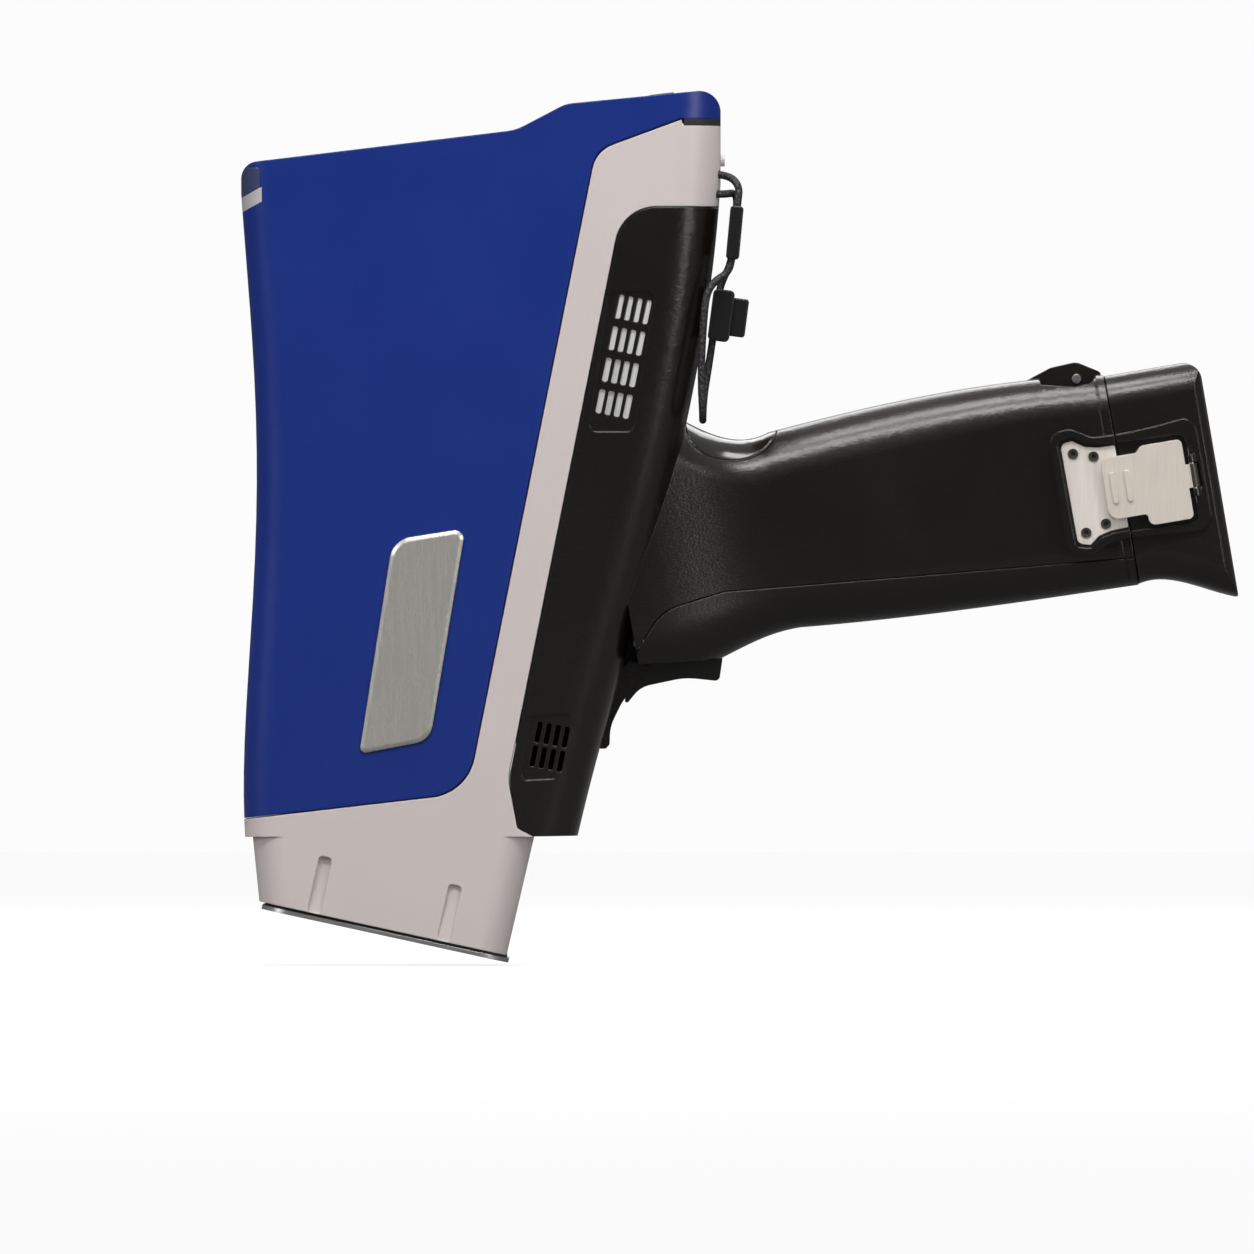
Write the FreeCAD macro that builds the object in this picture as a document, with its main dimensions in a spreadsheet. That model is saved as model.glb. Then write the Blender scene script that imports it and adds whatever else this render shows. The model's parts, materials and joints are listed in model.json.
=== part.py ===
import FreeCAD, Part
import Sketcher
import math
import os

# Portable spectrometer: a pistol-grip analyser, in millimetres.
# The origin is the middle of the nose face and +Z runs from the nose to the display.
# +X runs from the back of the body to the foot of the grip, and the plane y = 0 halves it.

Vector = FreeCAD.Vector
document = FreeCAD.newDocument("portable_spectrometer")
sheet = document.addObject("Spreadsheet::Sheet", "Sizes")


class Size:
    """A number together with the sheet expression that gives it."""

    def __init__(self, number, text, bound=True):
        self.number = float(number)
        self.text = text
        self.bound = bound

    def __add__(self, other):
        other = as_size(other)
        return joined(self, other, self.number + other.number, "(%s + %s)")

    def __sub__(self, other):
        other = as_size(other)
        return joined(self, other, self.number - other.number, "(%s - %s)")

    def __mul__(self, other):
        other = as_size(other)
        return joined(self, other, self.number * other.number, "(%s * %s)")

    def __truediv__(self, other):
        other = as_size(other)
        return joined(self, other, self.number / other.number, "(%s / %s)")

    def __neg__(self):
        return as_size(0) - self

    def __radd__(self, other):
        return as_size(other) + self

    def __rsub__(self, other):
        return as_size(other) - self

    def __rmul__(self, other):
        return as_size(other) * self


def as_size(value):
    if isinstance(value, Size):
        return value
    return Size(value, "%.6f" % value, False)


def joined(first, second, number, pattern):
    return Size(number, pattern % (first.text, second.text), first.bound or second.bound)


def of_angle(function, name, angle):
    angle = as_size(angle)
    return Size(function(math.radians(angle.number)), "%s(%s)" % (name, angle.text), angle.bound)


def sine(angle):
    return of_angle(math.sin, "sin", angle)


def cosine(angle):
    return of_angle(math.cos, "cos", angle)


def tangent(angle):
    return of_angle(math.tan, "tan", angle)


class Sizes:
    """The driving dimensions, one attribute for each cell of the sheet."""


size = Sizes()
ROWS = [
    ("wall", 2.6, "wall of the body shells"),
    ("grip_wall", 3.2, "wall of the grip"),
    ("seam", 0.3, "gap at a parting line"),
    ("slack", 0.3, "clearance of a piece that moves or drops in"),
    ("bore_play", 0.05, "radial play of a pin in its bore"),
    ("rear_half_width", 41.5, "half the width at the display end"),
    ("side_taper", 3.15, "taper of each flat side towards the nose"),
    ("rear_height", 242.0, "height at which the rear half width is measured"),
    ("back_round", 9.0, "corner radius of the top cover"),
    ("front_round", 14.0, "corner radius of the body beside the grip"),
    ("back_at_rear", 41.1, "back of the body from the centre, display end"),
    ("back_at_waist", 37.2, "back of the body from the centre, waist"),
    ("back_at_nose", 38.0, "back of the body from the centre, nose"),
    ("front_at_rear", 95.8, "front of the body from the centre, display end"),
    ("front_at_waist", 87.6, "front of the body from the centre, waist"),
    ("front_at_belly", 73.4, "front of the body from the centre, trigger"),
    ("front_at_chin", 51.4, "front of the body from the centre, nose end"),
    ("rear_station", 211.0, "height of the display end station"),
    ("waist_station", 153.0, "height of the waist station"),
    ("belly_station", 96.0, "height of the trigger station"),
    ("low_station", 10.0, "height of the lowest station"),
    ("top_station", 256.0, "height of the highest station"),
    ("display_tilt", 6.9, "slope of the display face"),
    ("display_x", -34.8, "back end of the display face"),
    ("display_z", 221.4, "height of the back end of the display face"),
    ("display_crown", 0.6, "rim of the display face above its end"),
    ("platform_start", 88.0, "start of the raised keypad platform"),
    ("platform_height", 6.3, "height of the keypad platform"),
    ("ramp_length", 15.0, "ramp from the display to the platform"),
    ("chin_x", 42.6, "corner of the nose under the lower housing"),
    ("chin_z", 28.4, "height of that corner"),
    ("nose_tilt", 12.3, "slope of the nose face"),
    ("nose_back", 36.4, "nose face from the centre to its back edge"),
    ("nose_front", 36.0, "nose face from the centre to its front edge"),
    ("nose_plate_thick", 1.2, "nose plate"),
    ("nose_gasket_thick", 0.8, "nose gasket"),
    ("nose_floor", 3.0, "floor of the nose"),
    ("seam_tilt", 11.3, "slope of the two long body seams"),
    ("seam_foot", 15.3, "cover seam from the centre, at the nose height"),
    ("band_width", 11.0, "width of the middle housing between the seams"),
    ("cover_lip_z", 234.0, "lower edge of the cover at the keypad end"),
    ("cover_lip_x", 84.5, "where that edge turns down"),
    ("cover_corner_x", 60.3, "upper seam corner"),
    ("cover_corner_z", 224.8, "upper seam corner height"),
    ("cover_hem_z", 41.0, "lower seam corner height"),
    ("hem_slope", 6.6, "slope of the cover hem"),
    ("housing_top_z", 208.8, "upper edge of the lower housing"),
    ("grip_rake", 9.6, "rake of the grip axis"),
    ("grip_x", 90.3, "root of the grip axis"),
    ("grip_z", 116.4, "height of the root of the grip axis"),
    ("grip_half_width", 20.5, "half the width of the grip"),
    ("grip_heel_half_width", 24.0, "half the width of the grip at the door"),
    ("grip_back_root", 24.4, "axis to the palm side, near the body"),
    ("grip_back_mid", 26.8, "axis to the palm side, middle"),
    ("grip_front_root", 32.4, "axis to the finger side, near the body"),
    ("grip_front_mid", 34.6, "axis to the finger side, middle"),
    ("grip_front_heel", 36.5, "axis to the finger side, at the door"),
    ("grip_length", 121.4, "root to the battery door"),
    ("bay_back", 20.0, "axis to the palm side of the battery bay"),
    ("bay_front", 27.0, "axis to the finger side of the battery bay"),
    ("bay_half_width", 17.0, "half the width of the battery bay"),
    ("door_depth", 27.6, "battery door, from parting line to base"),
    ("door_half_width", 27.0, "half the width of the base"),
    ("base_back", 24.2, "axis to the palm side of the base"),
    ("base_front", 44.6, "axis to the lip of the base"),
    ("glass_start", 4.0, "display glass, first edge along the face"),
    ("glass_length", 66.0, "display glass along the face"),
    ("glass_half_width", 31.0, "half the width of the display glass"),
    ("glass_thick", 1.8, "display glass"),
    ("glass_sunk", 0.3, "display glass below the rim"),
    ("display_gasket_thick", 0.5, "gasket under the glass"),
    ("glass_ledge", 5.0, "ledge that carries the glass"),
    ("panel_thick", 4.0, "display panel"),
    ("keypad_centre", 108.5, "middle of the keypad along the face"),
    ("keypad_half_length", 16.0, "half the length of the keypad plate"),
    ("keypad_half_width", 33.0, "half the width of the keypad plate"),
    ("keypad_sunk", 2.4, "depth of the keypad recess"),
    ("keypad_thick", 1.4, "keypad plate"),
    ("key_travel", 0.8, "travel of a key"),
    ("key_height", 1.4, "height of a key"),
    ("key_gap", 0.3, "gap round a key"),
    ("nav_radius", 11.0, "navigation ring"),
    ("select_radius", 4.6, "key inside the navigation ring"),
    ("side_key_radius", 3.6, "round keys beside the ring"),
    ("side_key_offset", 22.0, "round keys from the middle"),
    ("side_key_rise", 7.0, "round keys above and below the ring's middle"),
    ("badge_length", 54.0, "badge plate along its slope"),
    ("badge_width", 20.6, "badge plate across"),
    ("badge_thick", 1.3, "badge plate"),
    ("badge_sunk", 0.7, "depth of the badge recess"),
    ("badge_x", 7.7, "middle of the badge"),
    ("badge_z", 84.4, "height of the middle of the badge"),
    ("vent_pitch", 2.65, "pitch of the vent slots"),
    ("vent_width", 1.7, "width of a rear vent slot"),
    ("vent_length", 6.9, "length of a rear vent slot"),
    ("vent_row_pitch", 9.2, "pitch of the rear vent rows"),
    ("fin_thick", 1.0, "fin of the heat sink"),
    ("trigger_half_width", 8.0, "half the width of the trigger"),
    ("trigger_pivot_x", 72.6, "trigger pivot"),
    ("trigger_pivot_z", 84.0, "height of the trigger pivot"),
    ("trigger_pin_radius", 1.5, "trigger pin"),
    ("latch_face", 25.2, "face of the latch surround from the centre plane"),
    ("latch_plate_thick", 1.2, "latch plate"),
    ("lever_thick", 2.3, "latch lever"),
    ("lever_pivot", 141.9, "latch pivot along the grip"),
    ("lever_pin_radius", 0.9, "latch pin"),
    ("hinge_radius", 2.4, "battery door hinge knuckle"),
    ("hinge_pin_radius", 1.2, "battery door hinge pin"),
    ("hinge_y", 27.3, "battery door hinge from the centre plane"),
    ("strap_pin_radius", 1.3, "lanyard pin"),
    ("cord_radius", 1.1, "strap cord"),
    ("cord_y", -30.0, "strap from the centre plane"),
    ("cord_gap", 2.5, "half the distance between the two strands"),
    ("chassis_y", 16.0, "face of the chassis plate"),
    ("chassis_thick", 2.0, "chassis plate"),
    ("tube_lean", 28.0, "lean of the x-ray tube from the nose axis"),
    ("detector_lean", 32.0, "lean of the detector from the nose axis"),
    ("tube_radius", 9.5, "x-ray tube"),
    ("tube_length", 46.0, "body of the x-ray tube"),
    ("detector_radius", 7.0, "detector can"),
    ("snout_start", 15.4, "distance of tube and detector from the window"),
    ("snout_length", 9.0, "narrow end of tube and detector"),
    ("wheel_radius", 12.0, "filter wheel"),
    ("wheel_thick", 1.4, "filter wheel thickness"),
    ("screw_radius", 1.25, "housing screw shank"),
    ("boss_radius", 3.4, "screw boss"),
]
for row, (alias, number, meaning) in enumerate(ROWS, start=1):
    sheet.set("A%d" % row, meaning)
    sheet.set("B%d" % row, str(number))
    sheet.setAlias("B%d" % row, alias)
    setattr(size, alias, Size(number, "Sizes.%s" % alias))
document.recompute()

THROUGH = 75.0


# Sketching


def bind(item, path, value):
    value = as_size(value)
    if value.bound:
        item.setExpression(path, value.text)


def origin_plane(body, role):
    return [feature for feature in body.Origin.OriginFeatures if feature.Role == role][0]


def new_body(name):
    return document.addObject("PartDesign::Body", name)


def sketch_on(body, role, offset=0):
    offset = as_size(offset)
    sketch = body.newObject("Sketcher::SketchObject", "Outline")
    sketch.AttachmentSupport = [(origin_plane(body, role), "")]
    sketch.MapMode = "FlatFace"
    sketch.AttachmentOffset = FreeCAD.Placement(Vector(0, 0, offset.number), FreeCAD.Rotation())
    bind(sketch, "AttachmentOffset.Base.z", offset)
    return sketch


def constrain(sketch, kind, place, value):
    value = as_size(value)
    index = sketch.addConstraint(Sketcher.Constraint(kind, *place, value.number))
    bind(sketch, "Constraints[%d]" % index, value)


def draw_outline(sketch, corners):
    """A closed outline through corners (across, up, radius), each rounded to its radius."""
    corners = [tuple(as_size(value) for value in corner) for corner in corners]
    count = len(corners)
    marks = [Vector(across.number, up.number, 0) for across, up, radius in corners]
    bends = []
    for index, mark in enumerate(marks):
        radius = corners[index][2].number
        before = (marks[index - 1] - mark).normalize()
        after = (marks[(index + 1) % count] - mark).normalize()
        half = math.acos(max(-1.0, min(1.0, before.dot(after)))) / 2
        reach = radius / math.tan(half)
        centre = mark + (before + after).normalize() * (radius / math.sin(half))
        left_turn = after.cross(before).z > 0
        bends.append((mark + before * reach, mark + after * reach, centre, left_turn))
    lines = []
    for index in range(count):
        run = Part.LineSegment(bends[index][1], bends[(index + 1) % count][0])
        lines.append(sketch.addGeometry(run))
    ties = []
    for index, mark in enumerate(marks):
        guide = sketch.addGeometry(Part.Point(mark), True)
        constrain(sketch, "DistanceX", (-1, 1, guide, 1), corners[index][0])
        constrain(sketch, "DistanceY", (-1, 1, guide, 1), corners[index][1])
        arriving = lines[index - 1]
        leaving = lines[index]
        if corners[index][2].number == 0:
            ties.append(Sketcher.Constraint("Coincident", guide, 1, arriving, 2))
            ties.append(Sketcher.Constraint("Coincident", guide, 1, leaving, 1))
            continue
        first, last, centre, left_turn = bends[index]
        start, end = (1, 2) if left_turn else (2, 1)
        if not left_turn:
            first, last = last, first
        angles = [math.atan2(point.y - centre.y, point.x - centre.x) for point in (first, last)]
        if angles[1] <= angles[0]:
            angles[1] += 2 * math.pi
        circle = Part.Circle(centre, Vector(0, 0, 1), corners[index][2].number)
        arc = sketch.addGeometry(Part.ArcOfCircle(circle, *angles))
        ties.append(Sketcher.Constraint("Tangent", arriving, 2, arc, start))
        ties.append(Sketcher.Constraint("Tangent", arc, end, leaving, 1))
        ties.append(Sketcher.Constraint("PointOnObject", guide, 1, arriving))
        ties.append(Sketcher.Constraint("PointOnObject", guide, 1, leaving))
        constrain(sketch, "Radius", (arc,), corners[index][2])
    sketch.addConstraint(ties)


def draw_circle(sketch, across, up, radius):
    across, up, radius = as_size(across), as_size(up), as_size(radius)
    centre = Vector(across.number, up.number, 0)
    circle = sketch.addGeometry(Part.Circle(centre, Vector(0, 0, 1), radius.number))
    constrain(sketch, "DistanceX", (-1, 1, circle, 3), across)
    constrain(sketch, "DistanceY", (-1, 1, circle, 3), up)
    constrain(sketch, "Radius", (circle,), radius)


def rectangle(left, right, low, high, radius=0):
    return [(left, low, radius), (right, low, radius), (right, high, radius), (left, high, radius)]


# Solid features


def pad(body, sketch, length, side="One side", backwards=False):
    feature = body.newObject("PartDesign::Pad", "Pad")
    feature.Profile = sketch
    feature.SideType = side
    feature.Length = as_size(length).number
    bind(feature, "Length", length)
    feature.Reversed = backwards
    sketch.Visibility = False
    return feature


def pocket(body, sketch, length, side="One side", backwards=False):
    feature = body.newObject("PartDesign::Pocket", "Pocket")
    feature.Profile = sketch
    feature.SideType = side
    feature.Length = as_size(length).number
    bind(feature, "Length", length)
    feature.Reversed = backwards
    return feature


def revolve(body, sketch):
    feature = body.newObject("PartDesign::Revolution", "Revolution")
    feature.Profile = sketch
    feature.ReferenceAxis = (sketch, ["V_Axis"])
    feature.Angle = 360
    return feature


def loft(body, sketches):
    feature = body.newObject("PartDesign::AdditiveLoft", "Loft")
    feature.Profile = sketches[0]
    feature.Sections = sketches[1:]
    return feature


def prism(name, corners, half_width):
    """An outline in the XZ plane, thickened to both sides of y = 0."""
    body = new_body(name)
    sketch = sketch_on(body, "XZ_Plane")
    draw_outline(sketch, corners)
    pad(body, sketch, 2 * as_size(half_width), "Symmetric")
    return body


def slab(name, corners, near, far):
    """An outline in the XZ plane, thickened from y = near to y = far."""
    body = new_body(name)
    sketch = sketch_on(body, "XZ_Plane", -as_size(near))
    draw_outline(sketch, corners)
    pad(body, sketch, as_size(far) - near, backwards=True)
    return body


def plate(name, corners, low, high):
    """An outline in the XY plane, thickened from z = low to z = high."""
    body = new_body(name)
    sketch = sketch_on(body, "XY_Plane", low)
    draw_outline(sketch, corners)
    pad(body, sketch, as_size(high) - low)
    return body


def disc(name, x, y, radius, low, high):
    """A round plate or pin along z."""
    body = new_body(name)
    sketch = sketch_on(body, "XY_Plane", low)
    draw_circle(sketch, x, y, radius)
    pad(body, sketch, as_size(high) - low)
    return body


def rod(name, x, z, radius, near, far):
    """A pin along y."""
    body = new_body(name)
    sketch = sketch_on(body, "XZ_Plane", -as_size(near))
    draw_circle(sketch, x, z, radius)
    pad(body, sketch, as_size(far) - near, backwards=True)
    return body


def turned(name, corners):
    """A profile (radius, height, rounding) turned about z."""
    body = new_body(name)
    sketch = sketch_on(body, "XZ_Plane")
    draw_outline(sketch, corners)
    revolve(body, sketch)
    return body


# Booleans and places


def fuse(name, items):
    item = document.addObject("Part::MultiFuse", name)
    item.Shapes = items
    return item


def cut(name, base, tools):
    item = document.addObject("Part::Cut", name)
    item.Base = base
    item.Tool = tools[0] if len(tools) == 1 else fuse(name + "_tools", tools)
    return item


def common(name, base, tool):
    item = document.addObject("Part::Common", name)
    item.Base = base
    item.Tool = tool
    return item


def group(name, items):
    item = document.addObject("Part::Compound", name)
    item.Links = items
    return item


class Frame:
    """A place in the XZ plane whose own x axis is tilted upwards."""

    def __init__(self, x, z, tilt):
        self.x, self.z, self.tilt = as_size(x), as_size(z), as_size(tilt)

    def point(self, along, up):
        x = self.x + along * cosine(self.tilt) - up * sine(self.tilt)
        z = self.z + along * sine(self.tilt) + up * cosine(self.tilt)
        return x, z

    def corner(self, along, up, radius=0):
        x, z = self.point(as_size(along), as_size(up))
        return x, z, radius


def place(item, frame, y=0):
    """Put a piece that was drawn in a frame's own axes where that frame is."""
    y = as_size(y)
    turn = FreeCAD.Rotation(Vector(0, -1, 0), frame.tilt.number)
    item.Placement = FreeCAD.Placement(Vector(frame.x.number, y.number, frame.z.number), turn)
    bind(item, "Placement.Base.x", frame.x)
    bind(item, "Placement.Base.y", y)
    bind(item, "Placement.Base.z", frame.z)
    bind(item, "Placement.Rotation.Angle", frame.tilt)
    return item


rear = Frame(size.display_x, size.display_z, size.display_tilt)
nose = Frame(0, 0, -size.nose_tilt)
grip = Frame(size.grip_x, size.grip_z, size.grip_rake)

pieces = []


def finish(name, item):
    item.Label = name
    pieces.append((name, item))
    return item


# Outer form of the body: rounded sections from nose to display, trimmed at the display face


def half_width_at(height):
    return size.rear_half_width - (size.rear_height - height) * tangent(size.side_taper)


def body_section(body, height, back, front, inset=0):
    height = as_size(height)
    side = half_width_at(height) - inset
    back = -as_size(back) + inset
    front = as_size(front) - inset
    sketch = sketch_on(body, "XY_Plane", height)
    back_round = size.back_round - inset
    front_round = size.front_round - inset
    draw_outline(sketch, [(back, -side, back_round), (front, -side, front_round),
                          (front, side, front_round), (back, side, back_round)])
    return sketch


def body_loft(body, inset=0):
    stations = [
        (size.low_station, size.back_at_nose, size.front_at_chin),
        (size.belly_station, size.back_at_nose, size.front_at_belly),
        (size.waist_station, size.back_at_waist, size.front_at_waist),
        (size.rear_station, size.back_at_rear, size.front_at_rear),
        (size.top_station, size.back_at_rear, size.front_at_rear + 1.2),
    ]
    loft(body, [body_section(body, *station, inset) for station in stations])


def above_display(drop, inset):
    """What lies beyond the display face, its ramp and the keypad platform."""
    low = size.display_crown - drop
    high = size.platform_height - drop
    back = -size.back_at_rear - 0.1 + inset
    edge = size.front_at_rear + 0.3 - inset
    return [
        (-60, 200, 0),
        (back, 200, 0),
        (back, size.display_z + low + (back - size.display_x) * tangent(size.display_tilt), 5),
        rear.corner(size.platform_start - size.ramp_length, low, 14),
        rear.corner(size.platform_start, high, 10),
        (edge, size.display_z + high + (edge - size.display_x) * tangent(size.display_tilt) - 1.0, 6),
        (edge, 200, 0),
        (130, 200, 0),
        (130, 280, 0),
        (-60, 280, 0),
    ]


def body_form(name, inset=0, drop=0):
    body = new_body(name)
    body_loft(body, inset)
    sketch = sketch_on(body, "XZ_Plane")
    draw_outline(sketch, above_display(drop, inset))
    pocket(body, sketch, 2 * THROUGH, "Symmetric")
    return body


outer_form = body_form("outer_form")
hollow_form = body_form("hollow_form", size.wall, 4.6)
chin_sketch = sketch_on(hollow_form, "XZ_Plane")
chin_floor = size.chin_z + size.wall + 2.8
draw_outline(chin_sketch, [(-60, -20, 0), (130, -20, 0), (130, chin_floor, 0), (size.chin_x - 2.2, chin_floor, 1),
                           (size.chin_x - 3.2, size.chin_z + 0.6, 0), (-60, size.chin_z + 0.6, 0)])
pocket(hollow_form, chin_sketch, 2 * THROUGH, "Symmetric")


# Nose form: a narrower box below the lower housing, cut square to the nose face


def nose_section(body, height, inset):
    height = as_size(height)
    slope = (size.chin_x - size.nose_front) / size.chin_z
    front = size.chin_x + (height - size.chin_z) * slope - inset
    back = -size.back_at_nose + (size.chin_z - height) * 0.1 + inset
    side = half_width_at(height) - inset
    sketch = sketch_on(body, "XY_Plane", height)
    draw_outline(sketch, rectangle(back, front, -side, side, size.back_round - inset))
    return sketch


def nose_form(name, top, floor, inset=0):
    body = new_body(name)
    loft(body, [nose_section(body, -20, inset), nose_section(body, top, inset)])
    sketch = sketch_on(body, "XZ_Plane")
    draw_outline(sketch, [nose.corner(-80, floor), nose.corner(80, floor),
                          nose.corner(80, -60), nose.corner(-80, -60)])
    pocket(body, sketch, 2 * THROUGH, "Symmetric")
    return body


nose_seat = size.nose_plate_thick + size.nose_gasket_thick
nose_outer = nose_form("nose_outer", size.chin_z, nose_seat)
nose_hollow = nose_form("nose_hollow", size.chin_z + 4, nose_seat + size.nose_floor, size.wall)


# Grip form: sections square to the grip axis, flared where it grows out of the body


def grip_section(body, along, back, front, side, radius):
    sketch = sketch_on(body, "YZ_Plane", along)
    draw_outline(sketch, rectangle(-as_size(side), side, -as_size(front), back, radius))
    return sketch


grip_flare = new_body("grip_flare")
loft(grip_flare, [
    grip_section(grip_flare, -24, 42, 39, 29, 16),
    grip_section(grip_flare, -8, 38, 39.4, 26.5, 16),
    grip_section(grip_flare, 8, 26.6, 34.8, 22.2, 14),
    grip_section(grip_flare, 24, size.grip_back_root, size.grip_front_root, size.grip_half_width, 14),
])
place(grip_flare, grip)
grip_third = (size.grip_length - 24) / 3
grip_form = new_body("grip_form")
loft(grip_form, [
    grip_section(grip_form, 24, size.grip_back_root, size.grip_front_root, size.grip_half_width, 14),
    grip_section(grip_form, 24 + grip_third, size.grip_back_mid, size.grip_front_mid,
                 size.grip_half_width, 14),
    grip_section(grip_form, 24 + 2 * grip_third, size.grip_back_mid + 0.4, size.grip_front_mid + 1.2,
                 size.grip_half_width + 0.8, 13),
    grip_section(grip_form, size.grip_length, size.grip_back_mid - 2.3, size.grip_front_heel,
                 size.grip_heel_half_width, 11),
])
place(grip_form, grip)

lug = prism("lug", [(101, 20, 0), (120.9, 20, 0), (120.9, 25.6, 1.5), (114.5, 29.6, 4),
                    (107, 29.2, 5), (98, 26.2, 0)], 9)
place(lug, grip)
scoop_outline = [(103.2, 24.7, 0), (112.4, 22.5, 2), (117.6, 22.6, 2), (119.8, 25.2, 1), (119.8, 40, 0), (103.2, 40, 0)]
scoops = [place(slab("lug_scoop", scoop_outline, near, far), grip) for near, far in ((-40, -9.0), (9.0, 40))]
bead_rise = 1.4
surround = [(103.0, -24.0, 3.5), (109.4, -26.2, 3), (115, -23.2, 6), (size.grip_length, -22.6, 0),
            (size.grip_length, 7.0, 0), (115, 7.2, 6), (109.2, 10.8, 4), (102.7, 10.2, 4)]
latch_boss = slab("latch_boss", surround, -size.latch_face - bead_rise, -15)
place(latch_boss, grip)
housing_solid = fuse("housing_solid", [outer_form, grip_flare, grip_form, lug])
housing_form = fuse("housing_form", [cut("housing_scooped", housing_solid, scoops), latch_boss])

# Seams: which part of the outer form belongs to the cover, middle housing and lower housing


def seam_x(height, offset=0):
    return size.seam_foot + offset + height * tangent(size.seam_tilt)


def cover_edge(shift, lip_drop=0):
    """The cover's seam from the keypad end down to the back of the nose."""
    hem_x = seam_x(size.cover_hem_z) + shift
    lip = [(130, size.cover_lip_z, 0), (size.cover_lip_x, size.cover_lip_z, 0.5)]
    if lip_drop:
        lip_low = size.cover_lip_z - lip_drop
        lip = [(130, lip_low, 0), (size.cover_lip_x + 0.7, lip_low, 0),
               (size.cover_lip_x + 0.4, size.cover_lip_z - size.seam, 0)]
    return lip + [
        (size.cover_corner_x + shift, size.cover_corner_z - shift, 9),
        (hem_x, size.cover_hem_z - shift, 14),
        (-60, size.cover_hem_z - shift - (hem_x + 60) * tangent(size.hem_slope), 0),
    ]


def housing_edge(shift):
    """The lower housing's seam from the strap end down to the chin."""
    return [
        (260, size.housing_top_z - shift, 0),
        (seam_x(size.housing_top_z, size.band_width) + shift, size.housing_top_z - shift, 12),
        (seam_x(45, size.band_width) + shift, 45, 14),
        (size.chin_x - 4.6 + shift, size.chin_z + 2.4, 1.5),
        (size.chin_x + shift, size.chin_z + shift, 0),
    ]


half_seam = size.seam / 2
lip_seal_thick = 2.0
cover_zone = prism("cover_zone", cover_edge(-half_seam)
                   + [(-60, 280, 0), (130, 280, 0)], THROUGH)
middle_edge = cover_edge(half_seam, lip_seal_thick)
middle_zone = prism("middle_zone", middle_edge + [(-60, size.chin_z, 0), (size.chin_x, size.chin_z, 0)]
                    + list(reversed(housing_edge(-half_seam)))[1:-1]
                    + [(130, size.housing_top_z + half_seam, 0)], THROUGH)
lower_zone = prism("lower_zone", housing_edge(half_seam) + [(260, size.chin_z + 2.6, 0)], THROUGH)
seal_zone = prism("seal_zone", [(size.cover_lip_x + 1.1, size.cover_lip_z - lip_seal_thick + 0.05, 0),
                                (130, size.cover_lip_z - lip_seal_thick + 0.05, 0),
                                (130, size.cover_lip_z - 0.05, 0),
                                (size.cover_lip_x + 1.1, size.cover_lip_z - 0.05, 0)], THROUGH)


def strap_edge(shift):
    """The front strap of the grip, on the finger side, with the trigger opening."""
    return [
        (70.0 - shift, 77.6, 0),
        (79.3 - shift, 93.0 + shift, 14),
        (97.0, 98.5 + shift, 10),
        grip.corner(60, -23.6 + shift),
        grip.corner(130, -29.5 + shift),
        grip.corner(130, -60),
        grip.corner(13, -60),
        (101.2, 79.6, 0),
    ]


tongue_rise = 1.3
tongue_half = 14
strap_zone = fuse("strap_zone", [prism("strap_side_zone", strap_edge(0), THROUGH),
                                 prism("strap_tongue", strap_edge(tongue_rise), tongue_half)])
strap_room = fuse("strap_room", [prism("strap_side_room", strap_edge(size.seam), THROUGH),
                                 prism("tongue_room", strap_edge(size.seam + tongue_rise), tongue_half + size.seam)])
finger_room = prism("finger_room", [(69.3, 77.6, 0), (99.6, 79.3, 2.5), (104.0, 82.6, 0), (112, 84.5, 0),
                                    (112, 40, 0), (60, 40, 0)], THROUGH)

# Hollows of the lower housing: battery bay, trigger room, screw bosses

bay = new_body("bay")
bay_start = 14
bay_sketch = sketch_on(bay, "YZ_Plane", bay_start)
bay_outline = rectangle(-size.bay_half_width, size.bay_half_width, -size.bay_front, size.bay_back, 5)
draw_outline(bay_sketch, bay_outline)
pad(bay, bay_sketch, size.grip_length - bay_start + 2)
place(bay, grip)
trigger_room = prism("trigger_room", [(64, 82.6, 0), (99, 82.6, 1), (110, 92.6, 2), (112, 101.2, 0),
                                      (64, 101.2, 0)], size.trigger_half_width + 2.5)
board_room = prism("board_room", [(64, 101, 0), (112, 101, 0), (112, 104, 0), (104, 136, 2), (70, 136, 0)],
                   size.bay_half_width)
trigger_slot_corners = [(69.6, 87, 0), (69.6, 77, 0), (67.1, 63.5, 0), (97.8, 63.5, 0), (97.8, 87, 0)]
trigger_slot = prism("trigger_slot", trigger_slot_corners, size.trigger_half_width + size.slack)
trigger_axis = (size.trigger_pivot_x, size.trigger_pivot_z)
pin_bore = rod("pin_bore", *trigger_axis, size.trigger_pin_radius + size.bore_play, -19, 19)
lanyard_slot = prism("lanyard_slot", [(108, 21.6, 0), (119.4, 21.6, 0), (119.4, 40, 0), (108, 40, 0)], 4)
place(lanyard_slot, grip)
lanyard_bore = rod("lanyard_bore", 113.8, 24.8, size.strap_pin_radius + size.bore_play, -12, 12)
place(lanyard_bore, grip)
plate_outline = [(106.1, -21.9, 1.8), (109.6, -22.9, 1), (112.4, -20.7, 3), (116.2, -19.8, 3), (121.1, -19.7, 0.5),
                 (121.1, 4.1, 0.5), (116.4, 4.2, 3), (112.6, 5.0, 3), (109.2, 7.3, 1), (105.8, 7.0, 1.8)]
latch_seat = slab("latch_seat", plate_outline, -40, -size.latch_face + size.latch_plate_thick)
place(latch_seat, grip)
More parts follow.
